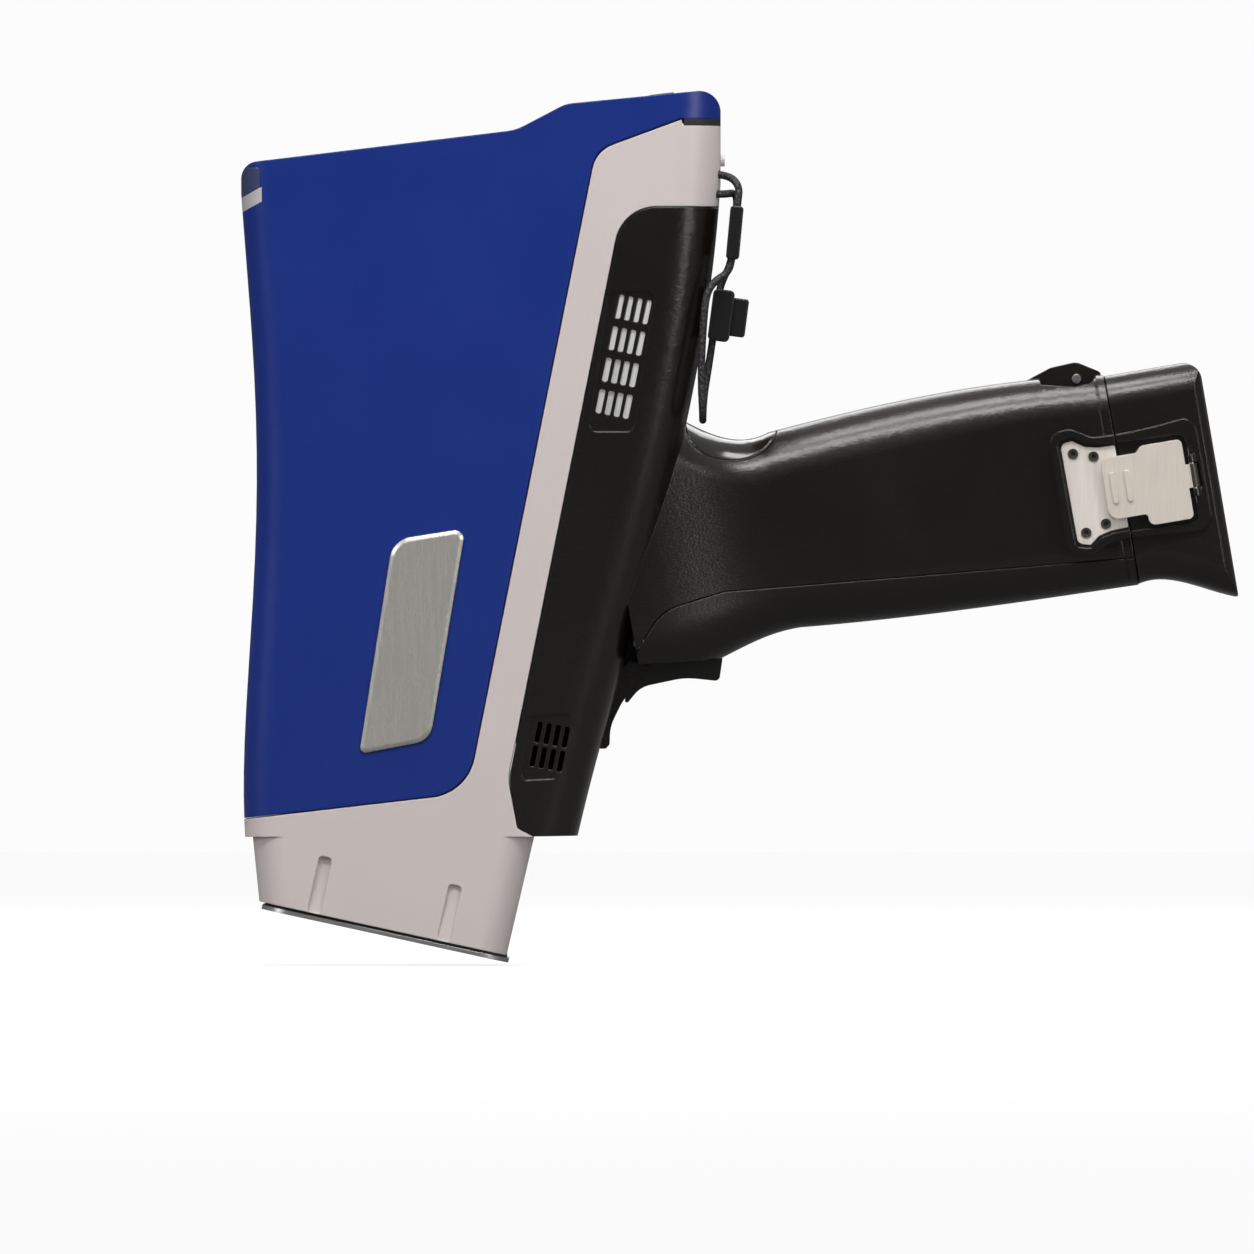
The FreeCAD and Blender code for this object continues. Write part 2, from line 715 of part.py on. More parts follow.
latch_room = slab("latch_room", [(105.2, -23.0, 2), (109.6, -23.9, 1.5), (112.8, -21.6, 3), (116.4, -20.7, 3),
                                 (122, -20.6, 0), (122, 5.0, 0), (116.6, 5.1, 3), (112.9, 5.9, 3),
                                 (109.4, 8.3, 1.5), (104.9, 8.0, 2)], -40, -size.latch_face)
place(latch_room, grip)

screw_spots = [(86.0, 197.0), (81.0, 132.0), (52.0, 44.0), (59.5, 84.0)]


bosses = []
boss_holes = []
for index, (x, z) in enumerate(screw_spots):
    side = half_width_at(as_size(z))
    bosses.append(rod("boss_%d" % index, x, z, size.boss_radius, -side + 1.6, side - 1.6))
    boss_holes.append(rod("boss_hole_%d" % index, x, z, size.screw_radius + size.bore_play, -11, side))
    boss_holes.append(rod("head_hole_%d" % index, x, z, size.screw_radius * 2 + size.slack, side - 4.4, 60))

# Tapered sides of the body, and what is drawn on them


def on_side(item, base_y, taper):
    item.Placement = FreeCAD.Placement(Vector(0, base_y.number, 0),
                                       FreeCAD.Rotation(Vector(1, 0, 0), taper.number))
    bind(item, "Placement.Base.y", base_y)
    bind(item, "Placement.Rotation.Angle", taper)
    return item


def on_left_side(item):
    """Stand a piece drawn in the XZ plane on the tapered left side of the body."""
    return on_side(item, -half_width_at(0), size.side_taper)


def on_right_side(item):
    return on_side(item, half_width_at(0), -size.side_taper)


vent_panel_depth = 0.5

# Vents: slots slanted with the seams, four columns through each side of the lower housing


def vent_slots(name, first_x, first_z, width, length, rows, row_pitch):
    body = new_body(name)
    sketch = sketch_on(body, "XZ_Plane")
    draw_outline(sketch, rectangle(-width / 2, width / 2, -as_size(length) / 2, as_size(length) / 2,
                                   as_size(width) * 0.35))
    slot = pad(body, sketch, 2 * THROUGH, "Symmetric")
    body.Tip = slot
    pattern = body.newObject("PartDesign::LinearPattern", "Slots")
    pattern.Originals = [slot]
    pattern.Direction = (sketch, ["H_Axis"])
    pattern.Mode = "Spacing"
    pattern.Occurrences = 4
    bind(pattern, "Offset", size.vent_pitch)
    pattern.Direction2 = (sketch, ["V_Axis"])
    pattern.Mode2 = "Spacing"
    pattern.Occurrences2 = rows
    pattern.Spacings2 = [-1.0] * (rows - 1)
    pattern.Offset2 = as_size(row_pitch).number
    bind(pattern, "Offset2", row_pitch)
    body.Tip = pattern
    return place(body, Frame(first_x, first_z, -size.seam_tilt))


rear_vents = vent_slots("rear_vents", 61.7, 153.2, size.vent_width, size.vent_length, 4, size.vent_row_pitch)
front_vents = vent_slots("front_vents", 42.6, 51.6, size.vent_width - 0.3, size.vent_length - 0.9, 2, 7.0)

vent_panels = []
for corners in ([(58.4, 144.6, 2), (70.9, 144.6, 2), (77.3, 184.9, 2), (64.2, 184.9, 2)],
                [(39.0, 44.6, 1.5), (51.6, 45.2, 1.5), (53.6, 64.0, 1.5), (40.8, 63.0, 1.5)]):
    vent_panels.append(on_left_side(slab("vent_panel", corners, -10, vent_panel_depth)))
    vent_panels.append(on_right_side(slab("vent_panel", corners, -as_size(vent_panel_depth), 10)))

# Lower housing: the black grip shell, in two halves that meet at y = 0

latch_screw_spots = [(108.9, 3.6), (114.6, 1.9), (108.9, -19.3), (114.9, -17.7)]
hinge_along = size.grip_length + 0.15
grip_ears = []
for low, high in ((-19.5, -13.4), (-0.6, 5.5)):
    ear = plate("grip_ear", [(112, 20, 0), (hinge_along - 0.35, 20, 0), (hinge_along - 0.35, size.hinge_y, 0),
                             (hinge_along - 1.2, size.hinge_y + 2.1, 0)], low, high)
    knuckle = disc("grip_knuckle", hinge_along, size.hinge_y, size.hinge_radius, low, high)
    grip_ears.append(place(ear, grip))
    grip_ears.append(place(knuckle, grip))
hinge_bore = disc("hinge_bore", hinge_along, size.hinge_y, size.hinge_pin_radius + size.bore_play, -30, 20)
place(hinge_bore, grip)

lower_skin = common("lower_skin", housing_form, lower_zone)
seam_sliver = prism("seam_sliver", rectangle(75.4, 101.0, 77, 79.7), 25)
lower_open = cut("lower_open", lower_skin, [hollow_form, bay, trigger_room, board_room, finger_room, strap_room,
                                            rear_vents, front_vents, seam_sliver])
bosses_inside = common("bosses_inside", fuse("boss_rods", bosses), housing_form)
lower_bossed = fuse("lower_bossed", [lower_open, bosses_inside] + grip_ears)
latch_screw_holes = []
for index, (along, up) in enumerate(latch_screw_spots):
    hole = rod("latch_screw_hole", along, up, 1.0 + size.bore_play, -size.latch_face - 1, -18.6)
    latch_screw_holes.append(place(hole, grip))
guard_fin = prism("guard_fin", [(61.5, 53.6, 0), (63.2, 53.6, 0.7), (64.3, 54.8, 0.7), (64.5, 60.0, 12), (67.6, 66.4, 12),
                                (71.6, 72.2, 12), (76.0, 77.6, 0), (70.0, 79.0, 0), (61.5, 70.0, 0)], 12)
rim_start = size.grip_length - 2.8
rim_band = place(plate("rim_band", rectangle(rim_start, rim_start + 0.5, -60, 60), -60, 60), grip)
rim_core = new_body("rim_core")
rim_sketch = grip_section(rim_core, rim_start - 1, size.grip_back_mid - 2.7, size.grip_front_heel - 0.6,
                          size.grip_heel_half_width - 0.5, 10.5)
pad(rim_core, rim_sketch, 3)
rim_groove = cut("rim_groove", rim_band, [place(rim_core, grip), lug, latch_boss])
lower_whole = cut("lower_whole", fuse("lower_finned", [lower_bossed, guard_fin]),
                  boss_holes + latch_screw_holes + vent_panels
                  + [pin_bore, lanyard_slot, lanyard_bore, latch_seat, latch_room, hinge_bore, trigger_slot, rim_groove])
left_side = slab("left_side", rectangle(-80, 260, -60, 290), -THROUGH, -0.1)
right_side = slab("right_side", rectangle(-80, 260, -60, 290), 0.1, THROUGH)
finish("lower_housing_left", common("lower_left", lower_whole, left_side))
finish("lower_housing_right", common("lower_right", lower_whole, right_side))

# Front strap of the grip, with the slot that the trigger moves in

strap_skin = common("strap_skin", common("strap_form", housing_form, lower_zone), strap_zone)
strap_cut = cut("strap_cut", strap_skin, [hollow_form, bay, trigger_room, board_room, trigger_slot, finger_room,
                                          pin_bore, rim_groove] + boss_holes)
finish("front_strap", strap_cut)

# Top cover: display face, keypad platform and the long back of the body


def rear_box(name, start, end, half_width, low, high, radius):
    item = plate(name, rectangle(start, end, -as_size(half_width), half_width, radius), low, high)
    return place(item, rear)


glass_low = size.display_crown - size.glass_sunk - size.glass_thick
gasket_low = glass_low - size.display_gasket_thick
glass_end = size.glass_start + size.glass_length
glass_room = rear_box("glass_room", size.glass_start - size.slack, glass_end + size.slack,
                      size.glass_half_width + size.slack, gasket_low, 12, 4.3)
window_start = size.glass_start + size.glass_ledge
window_end = glass_end - size.glass_ledge
window_side = size.glass_half_width - size.glass_ledge
glass_window = rear_box("glass_window", window_start, window_end, window_side, -12, 2, 1)
keypad_low = size.platform_height - size.keypad_sunk
keypad_high = keypad_low + size.keypad_thick
keypad_start = size.keypad_centre - size.keypad_half_length
keypad_end = size.keypad_centre + size.keypad_half_length
keypad_room = rear_box("keypad_room", keypad_start - size.slack, keypad_end + size.slack,
                       size.keypad_half_width + size.slack, keypad_low, 20, 6.3)


lens_zone = prism("lens_zone", [(-50, 206.4, 0), (-35.7, 214.3, 0), (-35.7, 220.1, 1), (-50, 220.1, 0)], THROUGH)
band_zone = prism("band_zone", [(-50, 202.4, 0), (-35.2, 210.3, 0), (-35.2, 214.4, 0), (-35.7, 214.3, 0),
                                (-50, 206.4, 0)], THROUGH)

badge_outline = [(-7.4, 52.3, 1.5), (12.9, 56.2, 6), (23.0, 116.9, 2.5), (2.2, 113.6, 7)]
badge_seat = on_left_side(slab("badge_seat", badge_outline, -10, size.badge_sunk))
cover_skin = common("cover_skin", outer_form, cover_zone)
cover_open = cut("cover_open", cover_skin, [hollow_form, glass_room, glass_window, keypad_room,
                                            lens_zone, band_zone, badge_seat])
finish("top_cover", cover_open)
rear_shell = cut("rear_shell", outer_form, [hollow_form])
finish("indicator_lens", common("lens", rear_shell, lens_zone))
finish("indicator_band", common("band", rear_shell, band_zone))
finish("cover_seal", common("seal", rear_shell, seal_zone))
badge = slab("badge", badge_outline, size.badge_sunk - size.badge_thick, size.badge_sunk)
finish("badge_plate", on_left_side(badge))

# Display and keypad

finish("display_glass", rear_box("glass", size.glass_start, glass_end, size.glass_half_width,
                                 glass_low, glass_low + size.glass_thick, 4))
gasket_body = plate("gasket", rectangle(size.glass_start, glass_end, -size.glass_half_width,
                                        size.glass_half_width, 4), gasket_low, glass_low)
gasket_hole = sketch_on(gasket_body, "XY_Plane", glass_low)
draw_outline(gasket_hole, rectangle(window_start, window_end, -window_side, window_side, 1))
pocket(gasket_body, gasket_hole, size.display_gasket_thick)
finish("display_gasket", place(gasket_body, rear))
finish("display_panel", rear_box("panel", window_start + size.slack, window_end - size.slack,
                                 window_side - size.slack, glass_low - size.panel_thick, glass_low, 0.8))

keypad = plate("keypad", rectangle(keypad_start, keypad_end, -size.keypad_half_width,
                                   size.keypad_half_width, 6), keypad_low, keypad_high)
key_low = keypad_low + size.key_travel + 0.1
key_high = key_low + size.key_height
side_keys = {
    "home_key": (size.keypad_centre - size.side_key_rise, -size.side_key_offset),
    "back_key": (size.keypad_centre + size.side_key_rise, -size.side_key_offset),
    "power_key": (size.keypad_centre, size.side_key_offset),
}
openings = [(size.keypad_centre, 0, size.nav_radius)]
openings += [(along, across, size.side_key_radius) for along, across in side_keys.values()]
for along, across, radius in openings:
    hole = sketch_on(keypad, "XY_Plane", keypad_high)
    draw_circle(hole, along, across, radius + size.key_gap)
    pocket(keypad, hole, size.keypad_thick)
finish("keypad_plate", place(keypad, rear))
ring = disc("ring", size.keypad_centre, 0, size.nav_radius, key_low, key_high)
ring_hole = sketch_on(ring, "XY_Plane", key_high)
draw_circle(ring_hole, size.keypad_centre, 0, size.select_radius + size.key_gap)
pocket(ring, ring_hole, size.key_height)
finish("nav_ring", place(ring, rear))
finish("select_key", place(disc("select", size.keypad_centre, 0, size.select_radius, key_low, key_high), rear))
for name, (along, across) in side_keys.items():
    finish(name, place(disc(name, along, across, size.side_key_radius, key_low, key_high), rear))

# Middle housing: the pale band between the seams, with the nose and the port opening

port_low, port_high = 212.2, 230.6
port_near, port_far = -20, 32
port_back = 92.4
port_hinge_x, port_hinge_z = 94.0, 214.0
port_room = slab("port_room", rectangle(port_back - 0.1, 120, port_low - size.slack, port_high + size.slack),
                 port_near - size.slack, port_far + size.slack)
port_swing_radius = 3.5
port_swing = rod("port_swing", port_hinge_x, port_hinge_z, port_swing_radius, port_near - size.slack, port_far + size.slack)
port_bore = rod("port_bore", port_hinge_x, port_hinge_z, 0.85, port_near - 5, port_far + 5)
strap_holes = []
for height in (218.2, 212.5):
    hole = new_body("strap_hole")
    sketch = sketch_on(hole, "YZ_Plane", 84)
    draw_circle(sketch, size.cord_y, height, size.cord_radius + 0.2)
    pad(hole, sketch, 20)
    strap_holes.append(hole)
grooves = []
for along in (-21.4, 16.6):
    for near, far in ((-60, -half_width_at(14) + 1.0), (half_width_at(14) - 1.0, 60)):
        groove = slab("groove", rectangle(along - 1.9, along + 1.9, nose_seat + 0.2, 18.6, 1.2), near, far)
        grooves.append(place(groove, nose))
window_hole = disc("window_hole", 0, 0, 9.0, -5, 12)
place(window_hole, nose)
nose_screw_spots = [(along, across) for along in (-30, 29.6) for across in (-21.5, 21.5)]
nose_screw_holes = [place(disc("nose_screw_hole", along, across, 1.25, 0, 7), nose)
                    for along, across in nose_screw_spots]
middle_skin = common("middle_skin", outer_form, middle_zone)
middle_whole = cut("middle_whole", fuse("middle_form", [middle_skin, nose_outer]),
                   [hollow_form, nose_hollow, port_room, port_swing, port_bore, window_hole]
                   + strap_holes + grooves + nose_screw_holes)
finish("mid_housing", middle_whole)

# Port door on the strap side, with its pin and quarter-turn knob

door_skin = common("door_skin", outer_form, slab("port_leaf", rectangle(port_back, 120, port_low, port_high),
                                                 port_near, port_far))
knob_bore = new_body("knob_bore")
knob_bore_sketch = sketch_on(knob_bore, "YZ_Plane", 90)
draw_circle(knob_bore_sketch, 6, 222.8, 1.85)
pad(knob_bore, knob_bore_sketch, 12)
finish("port_door", cut("port_leaf_cut", door_skin, [port_bore, knob_bore]))
finish("port_hinge_pin", rod("port_pin", port_hinge_x, port_hinge_z, 0.8, port_near - 4, port_far + 4))
knob = new_body("knob")
knob_sketch = sketch_on(knob, "YZ_Plane", port_back + 0.4)
draw_circle(knob_sketch, 6, 222.8, 1.75)
pad(knob, knob_sketch, 97.4 - port_back - 0.4)
finish("port_door_knob", knob)

# Nose: gasket, window film, steel plate and its screws

nose_outline = rectangle(-size.nose_back, size.nose_front, -27.8, 27.8, size.back_round)
plate_body = plate("nose_plate_body", nose_outline, 0, size.nose_plate_thick)
for along, across, radius in [(0, 0, 5.0)] + [(a, b, 2.0) for a, b in nose_screw_spots]:
    hole = sketch_on(plate_body, "XY_Plane", size.nose_plate_thick)
    draw_circle(hole, along, across, radius)
    pocket(plate_body, hole, size.nose_plate_thick)
finish("nose_plate", place(plate_body, nose))
gasket_inset = 0.7
nose_gasket = plate("nose_gasket_body", rectangle(-size.nose_back + gasket_inset, size.nose_front - gasket_inset,
                                                  -27.8 + gasket_inset, 27.8 - gasket_inset, size.back_round),
                    size.nose_plate_thick, nose_seat)
for along, across, radius in [(0, 0, 7.0)] + [(a, b, 1.4) for a, b in nose_screw_spots]:
    hole = sketch_on(nose_gasket, "XY_Plane", nose_seat)
    draw_circle(hole, along, across, radius)
    pocket(nose_gasket, hole, size.nose_gasket_thick)
finish("nose_gasket", place(nose_gasket, nose))
film_back = size.nose_plate_thick + 0.3
film = turned("film", [(0, 0, 0), (4.9, 0, 0), (4.9, size.nose_plate_thick.number, 0),
                       (6.8, size.nose_plate_thick.number, 0), (6.8, film_back.number, 0), (0, film_back.number, 0)])
finish("window_film", place(film, nose))


# Battery door: the flared foot of the grip, with its seal, hinge and latch

door_body = new_body("door_body")
door_start = size.grip_length + size.seam
door_step = (size.door_depth - size.seam) / 3
loft(door_body, [
    grip_section(door_body, door_start, size.base_back, 36.2, size.grip_heel_half_width + 0.2, 9),
    grip_section(door_body, door_start + door_step, size.base_back, 36.6, size.grip_heel_half_width + 0.5, 9),
    grip_section(door_body, door_start + 2 * door_step, size.base_back, 40.4, 25.4, 9),
    grip_section(door_body, door_start + 3 * door_step, size.base_back, size.base_front,
                 size.door_half_width, 9),
])
place(door_body, grip)
door_end = size.grip_length + size.door_depth
door_limits = [place(slab("door_outline", [(110, -50, 0), (door_end - 1.6, -50, 0), (door_end, -43.8, 1.8),
                                           (door_end, size.base_back, 5.5), (110, size.base_back, 0)],
                          -THROUGH, THROUGH), grip),
               place(plate("door_plan", [(110, -as_size(size.door_half_width), 0), (door_end, -size.door_half_width, 5),
                                         (door_end, size.door_half_width, 5), (110, size.door_half_width, 0)],
                           -THROUGH, THROUGH), grip)]
door_rounded = common("door_rounded", common("door_in_outline", door_body, door_limits[0]), door_limits[1])
door_surround = slab("door_surround", [(door_start, -22.6, 0), (126, -23.0, 6), (142.6, -24.2, 3.5), (145.1, -20.5, 2.5),
                                       (144.9, 5.6, 3), (142.3, 8.4, 2.5), (134, 7.5, 8), (126, 7.0, 4),
                                       (door_start, 7.0, 0)],
                     -size.latch_face - bead_rise, -15)
place(door_surround, grip)
lever_room = place(slab("lever_room", [(door_start - 1, -20.9, 0), (141.3, -21.6, 2), (141.3, 4.0, 2),
                                       (door_start - 1, 5.0, 0)], -40, -size.latch_face + 0.6), grip)
lever_low, lever_high = -11.6, -4.8
latch_ears = []
for low, high in ((-14.2, lever_low - 0.35), (lever_high + 0.35, -2.2)):
    tab = disc("latch_tab", size.lever_pivot, -size.latch_face - 1.8, 1.3, low, high)
    foot = plate("latch_foot", rectangle(size.lever_pivot - 1.3, size.lever_pivot + 1.3,
                                         -size.latch_face - 1.8, -22), low, high)
    latch_ears += [place(tab, grip), place(foot, grip)]
knuckle_room = place(slab("knuckle_room", rectangle(140.4, 143.9, lever_low - 0.35, lever_high + 0.35),
                          -40, -size.latch_face + 0.3), grip)
door_knuckle = disc("door_knuckle", hinge_along, size.hinge_y, size.hinge_radius, -13.1, -0.9)
door_leaf = plate("door_leaf", [(door_start + 0.2, 20, 0), (129, 20, 0), (124.6, size.hinge_y + 1, 1),
                                (hinge_along, size.hinge_y + 2.2, 0), (door_start + 0.2, size.hinge_y, 0)],
                  -13.1, -0.9)
door_form = fuse("door_form", [door_rounded, door_surround, place(door_knuckle, grip), place(door_leaf, grip)]
                 + latch_ears)
door_room = new_body("door_room")
door_room_sketch = sketch_on(door_room, "YZ_Plane", door_start - 1)
draw_outline(door_room_sketch, bay_outline)
pad(door_room, door_room_sketch, size.door_depth - 5)
place(door_room, grip)
seal_room = new_body("seal_room")
seal_sketch = sketch_on(seal_room, "YZ_Plane", door_start - 1)
seal_width = 1.8
draw_outline(seal_sketch, rectangle(-size.bay_half_width - seal_width, size.bay_half_width + seal_width,
                                    -size.bay_front - seal_width, size.bay_back + seal_width, 6))
pad(seal_room, seal_sketch, 1 + 1.0)
place(seal_room, grip)
latch_pin_bore = disc("latch_pin_bore", size.lever_pivot, -size.latch_face - 1.8, 0.75, -16, 0)
place(latch_pin_bore, grip)
door_hinge_bore = disc("door_hinge_bore", hinge_along, size.hinge_y, size.hinge_pin_radius + size.bore_play,
                       -15, 2)
place(door_hinge_bore, grip)
finish("battery_door", cut("battery_door_cut", door_form, [door_room, seal_room, latch_pin_bore, door_hinge_bore,
                                                           lever_room, knuckle_room]))

seal_ring = new_body("seal_ring")
seal_ring_sketch = sketch_on(seal_ring, "YZ_Plane", door_start - 0.2)
draw_outline(seal_ring_sketch, rectangle(-size.bay_half_width - seal_width + 0.1, size.bay_half_width + seal_width - 0.1,
                                         -size.bay_front - seal_width + 0.1, size.bay_back + seal_width - 0.1, 5.9))
draw_outline(seal_ring_sketch, bay_outline)
pad(seal_ring, seal_ring_sketch, 1.2)
finish("battery_door_seal", place(seal_ring, grip))
finish("door_hinge_pin", place(disc("hinge_pin", hinge_along, size.hinge_y, size.hinge_pin_radius, -19.5, 5.5), grip))

plate_face = -size.latch_face + size.latch_plate_thick
latch_plate = slab("latch_plate_body", plate_outline, -size.latch_face, plate_face)
for along, up in latch_screw_spots:
    hole = sketch_on(latch_plate, "XZ_Plane", size.latch_face)
    draw_circle(hole, along, up, 1.05)
    pocket(latch_plate, hole, size.latch_plate_thick)
finish("latch_plate", place(latch_plate, grip))
latch_screws = []
for along, up in latch_screw_spots:
    shank = rod("latch_screw", along, up, 1.0, -size.latch_face, -19)
    head = rod("latch_screw_head", along, up, 1.5, -size.latch_face - 0.3, -size.latch_face)
    latch_screws.append(fuse("latch_screw_whole", [place(shank, grip), place(head, grip)]))
finish("latch_screws", group("latch_screw_set", latch_screws))

lever_far = -size.latch_face - 0.4
lever_near = lever_far - size.lever_thick
lever_plate = slab("lever_plate", [(116.2, -16.9, 3), (127.2, -16.9, 1), (127.2, -20.3, 2), (140.1, -20.3, 1.5),
                                   (140.1, 2.7, 1.5), (127.2, 2.7, 2), (127.2, 0.9, 1), (116.2, 0.9, 3)],
                   lever_near, lever_far)
lever_knuckle = disc("lever_knuckle", size.lever_pivot, -size.latch_face - 1.8, 1.4, lever_low, lever_high)
lever_neck = slab("lever_neck", rectangle(138, size.lever_pivot, lever_low, lever_high), lever_near, lever_far)
lever_ribs = []
for along in (118.8, 123.0):
    rib = slab("lever_rib", [(along - 0.7, -12.5, 0.6), (along + 0.7, -12.5, 0.6), (along + 0.7, -3.5, 0.6),
                             (along - 0.7, -3.5, 0.6)], lever_near - 0.5, lever_near + 0.2)
    lever_ribs.append(place(rib, grip))
lever = fuse("lever_form", [place(lever_plate, grip), place(lever_knuckle, grip), place(lever_neck, grip)] + lever_ribs)
lever_bore = disc("lever_bore", size.lever_pivot, -size.latch_face - 1.8, 0.75, -16, 0)
finish("latch_lever", cut("lever_cut", lever, [place(lever_bore, grip)]))
finish("latch_pin", place(disc("latch_pin_body", size.lever_pivot, -size.latch_face - 1.8, 0.7, -14.2, -2.2), grip))
finish("lanyard_pin", place(rod("lug_pin", 113.8, 24.8, size.strap_pin_radius, -9.9, 9.9), grip))

# Battery and its contact block

battery = new_body("battery")
battery_sketch = sketch_on(battery, "YZ_Plane", 24)
fit = size.slack
draw_outline(battery_sketch, rectangle(-size.bay_half_width + fit, size.bay_half_width - fit,
                                       -size.bay_front + fit, size.bay_back - fit, 4.7))
pad(battery, battery_sketch, 97.4)
finish("battery_pack", place(battery, grip))
contacts = new_body("contacts")
contacts_sketch = sketch_on(contacts, "YZ_Plane", 16)
draw_outline(contacts_sketch, rectangle(-size.bay_half_width + 0.1, size.bay_half_width - 0.1, -14, 8, 1))
pad(contacts, contacts_sketch, 8 - fit.number)
finish("battery_contacts", place(contacts, grip))

# Trigger, its pin, spring and switch

trigger_corners = [(68.3, 65.3, 0.6), (73.2, 71.3, 8), (86, 74.0, 20), (95.8, 73.0, 1.4), (96.7, 79.2, 1),
                   (95.4, 90, 2), (87, 90, 3), (80, 86.2, 3), (76.0, 87.2, 1.5), (70.2, 86.6, 2), (70.3, 77, 1)]
trigger = prism("trigger_form", trigger_corners, size.trigger_half_width)
finish("trigger", cut("trigger_cut", trigger, [rod("trigger_bore", *trigger_axis, size.trigger_pin_radius
                                                   + size.bore_play, -12, 12)]))
finish("trigger_pin", rod("trigger_pin_body", *trigger_axis, size.trigger_pin_radius, -18.8, 18.8))
board_low = 101.6
spring_x = 84.4
spring = disc("spring", spring_x, 0, 2.4, 90.2, board_low)
spring_hole = sketch_on(spring, "XY_Plane", board_low)
draw_circle(spring_hole, spring_x, 0, 1.8)
pocket(spring, spring_hole, 20)
finish("trigger_spring", spring)
finish("trigger_switch", prism("switch_body", rectangle(89, 96, 93.6, board_low, 0.6), 5))
finish("trigger_board", prism("board_body", rectangle(80.6, 99, board_low, board_low + 1.6, 0), 16.9))

# Chassis plate: carries everything inside the body

chassis_far = size.chassis_y + size.chassis_thick
chassis = slab("chassis_body", [(-31, 32, 2), (29, 32, 2), (38, 60, 4), (58, 70, 4), (66, 110, 4), (82, 150, 4),
                                (86, 184, 4), (84, 206, 3), (52, 218, 3), (-31, 208, 3)], size.chassis_y, chassis_far)
for x, z in ((-14, 50), (14, 50), (-14, 110), (14, 110), (40, 110), (-14, 170), (14, 170), (42, 170)):
    opening = sketch_on(chassis, "XZ_Plane", -size.chassis_y)
    draw_outline(opening, rectangle(x - 9, x + 9, z - 11, z + 11, 4))
    pocket(chassis, opening, size.chassis_thick, backwards=True)
boss_rooms = [rod("boss_room", x, z, size.boss_radius + 0.4, -THROUGH, THROUGH) for x, z in screw_spots]
finish("chassis_plate", cut("chassis_cut", chassis, boss_rooms))

# Measuring head: block, x-ray tube, detector, filter wheel and its motor, camera

beam = Frame(0, 0, size.tube_lean - size.nose_tilt)
sight = Frame(0, 0, -size.nose_tilt - size.detector_lean)
snout_end = size.snout_start + size.snout_length
head_floor = nose_seat + size.nose_floor


def stepped(name, snout, radius, length, grow):
    start = size.snout_start - grow
    return turned(name, [(0, start, 0), (snout + grow, start, 0), (snout + grow, snout_end - grow, 0),
                         (radius + grow, snout_end - grow, 0), (radius + grow, snout_end + length + grow, 0),
                         (0, snout_end + length + grow, 0)])


detector_length = 23
wheel_y = 8.5
wheel_low = size.snout_start - 0.4 - size.wheel_thick
motor_radius = 3.0
motor_length = 7.0
motor_start = size.snout_start + 0.4
head_form = prism("head_form", [(-25, head_floor, 1), (25, head_floor, 1), (30, 30, 3), (22, 42, 4),
                                (-24, 42, 4), (-29, 30, 3)], size.chassis_y)
place(head_form, nose)
head_cuts = [
    place(stepped("tube_room", as_size(4.2), size.tube_radius, size.tube_length, 0.05), beam),
    place(stepped("detector_room", as_size(3.4), size.detector_radius, detector_length, 0.05), sight),
    place(disc("wheel_room", 0, wheel_y, size.wheel_radius + 0.6, wheel_low - 0.35, size.snout_start - 0.05), beam),
    place(disc("motor_room", 0, wheel_y, motor_radius + 0.05, size.snout_start - 0.1, motor_start + motor_length), beam),
    place(turned("beam_room", [(0, -8, 0), (7.4, -8, 0), (7.4, wheel_low.number, 0), (0, wheel_low.number, 0)]), nose),
]
finish("head_block", cut("head_cut", head_form, head_cuts))
finish("x_ray_tube", place(stepped("tube", as_size(4.2), size.tube_radius, size.tube_length, as_size(0)), beam))
finish("detector", place(stepped("detector_can", as_size(3.4), size.detector_radius, detector_length, as_size(0)),
                         sight))
wheel = disc("wheel", 0, wheel_y, size.wheel_radius, wheel_low, wheel_low + size.wheel_thick)
for step in range(6):
    angle = math.radians(30 + 60 * step)
    hole = sketch_on(wheel, "XY_Plane", wheel_low + size.wheel_thick)
    draw_circle(hole, 7.6 * math.cos(angle), wheel_y + 7.6 * math.sin(angle), 2.6)
    pocket(wheel, hole, size.wheel_thick)
hub_hole = sketch_on(wheel, "XY_Plane", wheel_low + size.wheel_thick)
draw_circle(hub_hole, 0, wheel_y, 0.65)
pocket(wheel, hub_hole, size.wheel_thick)
finish("filter_wheel", place(wheel, beam))
motor_can = disc("motor_can", 0, wheel_y, motor_radius, motor_start, motor_start + motor_length)
motor_shaft = disc("motor_shaft", 0, wheel_y, 0.6, wheel_low, motor_start + 1)
finish("filter_motor", fuse("motor_whole", [place(motor_can, beam), place(motor_shaft, beam)]))

finish("hv_supply", slab("supply", rectangle(-29, 6, 92, 146, 3), -12, size.chassis_y))

# Boards, heat sink, speaker and connectors

board = slab("main_board_body", rectangle(-28, 46, 96, 204, 2), chassis_far + 2.6, chassis_far + 4.2)
board_parts = [slab("standoff", rectangle(x - 2, x + 2, z - 2, z + 2, 0.8), chassis_far, chassis_far + 2.7)
               for x in (-25, 43) for z in (140, 200)]
board_parts += [slab("chip", rectangle(x, x + width, z, z + height, 0.5), chassis_far + 4.1, chassis_far + 6.0)
                for x, z, width, height in ((-18, 150, 18, 18), (8, 158, 14, 10), (-10, 112, 26, 9), (24, 176, 12, 18))]
finish("main_board", fuse("main_board_whole", [board] + board_parts))
sink_low, sink_high = 142.0, 188.0
sink_core = slab("sink_core", [(seam_x(sink_low) + 14.6, sink_low, 1), (81.5, sink_low, 1), (84.0, 180, 2),
                               (84.0, sink_high, 1), (seam_x(sink_high) + 14.6, sink_high, 1)],
                 -25, size.chassis_y)
